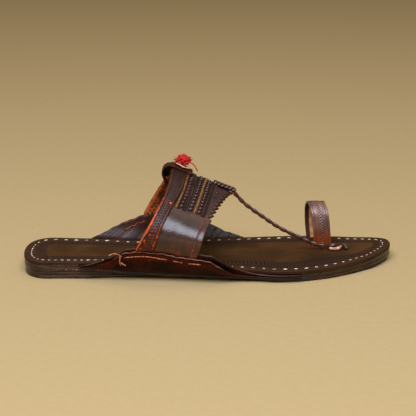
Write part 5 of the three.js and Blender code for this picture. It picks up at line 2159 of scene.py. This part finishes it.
@dataclass
class Thong:
    """A twisted two-ply lace from the band's tip down between the toes, and its raw stub."""

    ply_radius: float = 0.98
    twist_radius: float = 0.74
    turns: float = 6.3
    route: tuple[Point, ...] = (
        (160.4, 12.2, 53.8), (166, 13, 47.6), (172, 13.5, 42.6), (180.4, 14.3, 36.3),
        (195, 15.5, 26.2), (212.3, 17, 17.4), (220.1, 17.6, 13.6), (228, 18.2, 11.2),
    )

    def cord(self, finishes: Finishes) -> None:
        """Builds the two plies."""
        knots = np.array(self.route)
        lead_in, lead_out = 2 * knots[0] - knots[1], 2 * knots[-1] - knots[-2]
        head = lerp(knots[0], lead_in, 0.45)
        path = through_knots(np.vstack([lead_in, head, knots[1:], lead_out]), 34)
        run = run_along(path)
        even = np.linspace(0, run[-1], 300)
        path = np.stack([np.interp(even, run, path[:, i]) for i in range(3)], 1)
        _, side, over = path_frames(path, np.array([0.0, 0, 1.0]))
        plies = []
        for half in (0, math.pi):
            angle = even / run[-1] * self.turns * TURN + half
            swing = np.cos(angle)[:, None] * side + np.sin(angle)[:, None] * over
            ply = tube(path + swing * self.twist_radius, self.ply_radius, 10, swing, 0.92)
            below = np.concatenate([np.repeat(-np.sin(angle), 10), [0, 0]])
            ply.marks["rub"] = 0.25 + 0.55 * np.clip(below, 0, 1)
            ply.marks["wear"] = np.full(len(ply.corners), 0.12)
            plies.append(ply)
        settle(joined(plies).build("toe_thong", finishes.lace), "thong_leather", "toe_thong")
        along = [[-6.2, -1.4, 3.4], [-5, -1.9, 2.9], [-3.8, -2.1, 2.1], [-2.6, -2, 1.1], [-1.6, -1.6, 0]]
        end = through_knots(knots[0] + np.array(along), 6)
        cut = tube(end, 0.8, 8, np.array([0, -1.0, 0.4]), 0.7)
        cut.marks["wear"] = np.full(len(cut.corners), 0.3)
        settle(cut.build("thong_cut_end", finishes.raw), "raw_leather")

    def stub(self, finishes: Finishes) -> None:
        """Builds the knotted stub: a pale cut crescent between two dark folds of lace."""
        level = float(LAST.footbed_top(np.array(239.0))) + 0.3

        def fold(points: Sequence[Point], radius: float, flat: float) -> Shape:
            """One fold of lace, thickest in the middle."""
            path = through_knots(np.array(points) + np.array([0, 0, level]), 10)
            swell = radius * (0.55 + 0.45 * np.sin(np.linspace(0.25, math.pi - 0.2, len(path))))
            return tube(path, swell, 12, np.array([0.0, -0.5, 1.0]), flat)

        dark = joined([
            fold([(229, 20, 1.2), (231, 19, 1.8), (233.4, 17.6, 2.6), (236, 17.4, 2.9), (238, 19.6, 2.2),
                  (239, 22, 1.4), (239, 24, 1)], 1.9, 0.8),
            fold([(236, 24, 1), (238.4, 22.4, 1.6), (241, 20.6, 2.5), (243.6, 18.6, 2.6), (245, 16, 1.8),
                  (245.4, 14, 1.2), (245, 12, 1)], 1.7, 0.8),
            fold([(232, 24, 0.8), (233, 21.5, 1.4), (235.4, 20.4, 1.8), (238, 20.4, 1.9), (240.4, 22, 1.2),
                  (241, 24, 1)], 1.5, 0.8),
        ])
        dark.marks["rub"] = np.full(len(dark.corners), 0.25)
        settle(dark.build("thong_knot", finishes.lace), "thong_leather", "thong_knot")
        pale = fold(
            [(231.5, 18, 1.6), (232.6, 15.6, 1.3), (234.6, 13.8, 1.1), (237.4, 13.4, 1.2), (240, 14.6, 1.8),
             (241.4, 16.6, 2.6), (242, 18, 3)], 1.4, 0.75,
        )
        pale.marks["wear"] = 0.45 + 0.35 * np.sin(pale.marks["along"] * 1.1)
        settle(pale.build("thong_stub", finishes.raw), "raw_leather")


@dataclass
class ToeLoop:
    """The strap over the big toe, pressed with a column of chevrons, raw inside."""

    width: float = 13.2
    thickness: float = 1.8
    x: float = 227.9
    turn: float = -0.2
    lean: float = -0.08
    lip: float = 0.62
    chevron_pitch: float = 2.0
    line_inset: float = 1.9
    path: tuple[tuple[float, float], ...] = (
        (28.6, -12), (28, 0), (27, 13), (30, 25.5), (39.3, 31.6), (48.6, 25.5), (51.6, 13), (50.6, 0),
        (50, -12),
    )

    def make(self, finishes: Finishes) -> None:
        """Builds the loop."""
        level = float(LAST.footbed_top(np.array(self.x + self.width / 2))) + 0.3
        route = through_knots(np.array(self.path, float), 40)
        run = run_along(route)
        step = np.gradient(route, axis=0)
        step[0] = step[-1] = 0
        step[0][1], step[-1][1] = 1, -1
        step = unit(step)
        out = np.stack([-step[:, 1], step[:, 0]], 1)
        u = edge_steps(self.width, self.lip, 0.3)
        across, along = np.meshgrid(u * self.width, run, indexing="ij")
        to_edge = np.minimum(across, self.width - across)
        ease = eased(to_edge, np.full_like(to_edge, self.lip))
        mid = across - self.width * 0.55
        inset = self.line_inset
        lines = np.maximum(bell(across, inset, 0.28), bell(self.width - across, inset, 0.28))
        wave = np.sin((along + np.abs(mid) * 0.9) * TURN / self.chevron_pitch)
        chevrons = smooth(wave, 0.1, 0.6) * (1 - smooth(np.abs(mid), 1.7, 2.0))
        rails = np.maximum(bell(mid, -2.5, 0.25), bell(mid, 2.5, 0.25)) * 0.6
        tool = np.clip(np.maximum.reduce([lines, chevrons, rails]), 0, 1)
        half = self.thickness / 2
        bow = 0.2 * np.sin(u * math.pi)[:, None] + 0.12 * ripple(along, across, 14, 81)

        def face(offset: Array) -> Array:
            """Corners at an offset out from the loop's middle."""
            y = route[None, :, 0] + out[None, :, 0] * offset
            height = route[None, :, 1] + out[None, :, 1] * offset
            centre = self.x + self.turn * (y - self.path[1][0]) + self.lean * height
            x = centre + across - self.width / 2
            return np.stack([x, y, np.maximum(level + height, level + 0.02)], 2)

        outer = face(half - ease + bow - 0.3 * tool)
        inner = face(-(half - ease))
        foot = np.minimum(along, run[-1] - along)
        low = 1 - smooth(foot, 4, 17)
        wear = 0.22 * bell(to_edge, 0.1, 0.6) + 0.55 * low * smooth(ripple(along, across, 6, 82), 0.0, 0.8)
        wear = wear + 0.2 * bell(self.width - across, 1.2, 0.8) * smooth(ripple(along, across, 9, 83), 0, 0.6)
        rub = 0.15 + 0.7 * low + 0.2 * smooth(across, 8, 11)
        none = np.zeros_like(wear)
        near_edge = bell(to_edge, 0, 0.9) * 0.1
        marks = {
            "wear": (wear, none + 0.1), "rub": (rub, rub),
            "tool": (tool * 0.85, 1 - smooth(across, 2.6, 4.2)),
            "flesh": (near_edge, smooth(across, 2.2, 4.0)),
        }
        settle(sheet(outer, inner, marks).build("toe_loop", finishes.loop), "strap_leather", "toe_loop")


# ---- Setting, light and camera ----------------------------------------------------------------


@dataclass
class Studio:
    """A plain pale floor, a softbox above and in front, weak fill, and the camera."""

    floor_half: float = 9.0
    elevation_deg: float = 14.8
    distance_mm: float = 1180.8
    lens_mm: float = 135.7
    aim_mm: Point = (-0.86, -7.56, 46.54)
    lit: Point = (0, 0, 0.03)
    world_strength: float = 0.27

    def floor(self) -> None:
        """Lays the floor."""
        material, nodes, shader = new_material("pale_paper_floor")
        # Handmade paper: pale, warm and matt, with only a faint unevenness.
        fibre = nodes.noise(nodes.out("ShaderNodeTexCoord", output="Object"), 5, 4)
        colour = nodes.mix(nodes.step(fibre, 0.3, 0.7), linear("#b9a274"), linear("#b69f71"))
        nodes.feed(shader, {"Base Color": colour, "Roughness": 0.9})
        half = self.floor_half
        corners = [(-half, -half, 0), (half, -half, 0), (half, half, 0), (-half, half, 0)]
        mesh = bpy.data.meshes.new("floor")
        mesh.from_pydata(corners, [], [(0, 1, 2, 3)])
        mesh.materials.append(material)
        linked("floor", mesh)

    def softbox(
        self, name: str, place: Point, size: tuple[float, float], watts: float, colour: str
    ) -> None:
        """Hangs a rectangular light that faces the sandal.

        Args:
            name: The light's name.
            place: Where it hangs, in metres.
            size: Its width and height, in metres.
            watts: Its power.
            colour: Its colour.
        """
        light = bpy.data.lights.new(name, "AREA")
        light.shape = "RECTANGLE"
        light.size, light.size_y = size
        light.energy = watts
        light.color = linear(colour)[:3]
        lamp = linked(name, light)
        lamp.location = place
        lamp.rotation_euler = (Vector(self.lit) - Vector(place)).to_track_quat("-Z", "Y").to_euler()

    def lights(self) -> None:
        """Sets the lights and the pale surroundings."""
        self.softbox("key_softbox", (-0.15, -1.0, 1.5), (1.6, 1.12), 46, "#ecf1ff")
        self.softbox("top_softbox", (0.2, 0.45, 1.75), (1.8, 1.0), 6, "#fff6ea")
        self.softbox("front_fill", (-0.2, -1.8, 0.25), (1.8, 0.4), 2.4, "#fff2e0")
        world = bpy.data.worlds.new("studio")
        world.use_nodes = True
        sky = world.node_tree.nodes["Background"]
        Nodes(world.node_tree).feed(sky, {"Color": linear("#ead2a6"), "Strength": self.world_strength})
        bpy.context.scene.world = world
        bpy.context.scene.view_settings.view_transform = "Standard"

    def camera(self) -> None:
        """Places the camera low on the lateral side."""
        data = bpy.data.cameras.new("camera")
        data.lens = self.lens_mm
        data.sensor_width = 36
        camera = linked("camera", data)
        tilt = math.radians(self.elevation_deg)
        back = Vector((0, -math.cos(tilt), math.sin(tilt)))
        camera.location = (Vector(self.aim_mm) + back * self.distance_mm) * MM
        camera.rotation_euler = (-back).to_track_quat("-Z", "Y").to_euler()
        bpy.context.scene.camera = camera

    def make(self) -> None:
        """Sets the whole studio."""
        self.floor()
        self.lights()
        self.camera()


def main() -> None:
    """Builds the sandal, sub-assembly by sub-assembly, and sets the studio."""
    logging.basicConfig(level=logging.INFO, format="%(name)s: %(message)s")
    finishes = Finishes()
    rows = GrainRow()
    Studio().make()
    sole = SoleStack()
    sole.stack(finishes)
    sole.top_sole(finishes)
    sole.stitches(rows, finishes)
    for side in Side:
        ear = Ear(side)
        for leaf in Leaf:
            ear.leaf(leaf, finishes)
        ear.seam_thread(finishes)
        ear.tacking(finishes)
    band = InstepBand()
    band.body(finishes)
    band.trims(rows, finishes)
    band.studs(rows, finishes)
    band.flesh_stitches(rows, finishes)
    RearStrap(band).body(finishes)
    Crown().make(finishes)
    thong = Thong()
    thong.cord(finishes)
    thong.stub(finishes)
    ToeLoop().make(finishes)


if __name__ == "__main__":
    main()
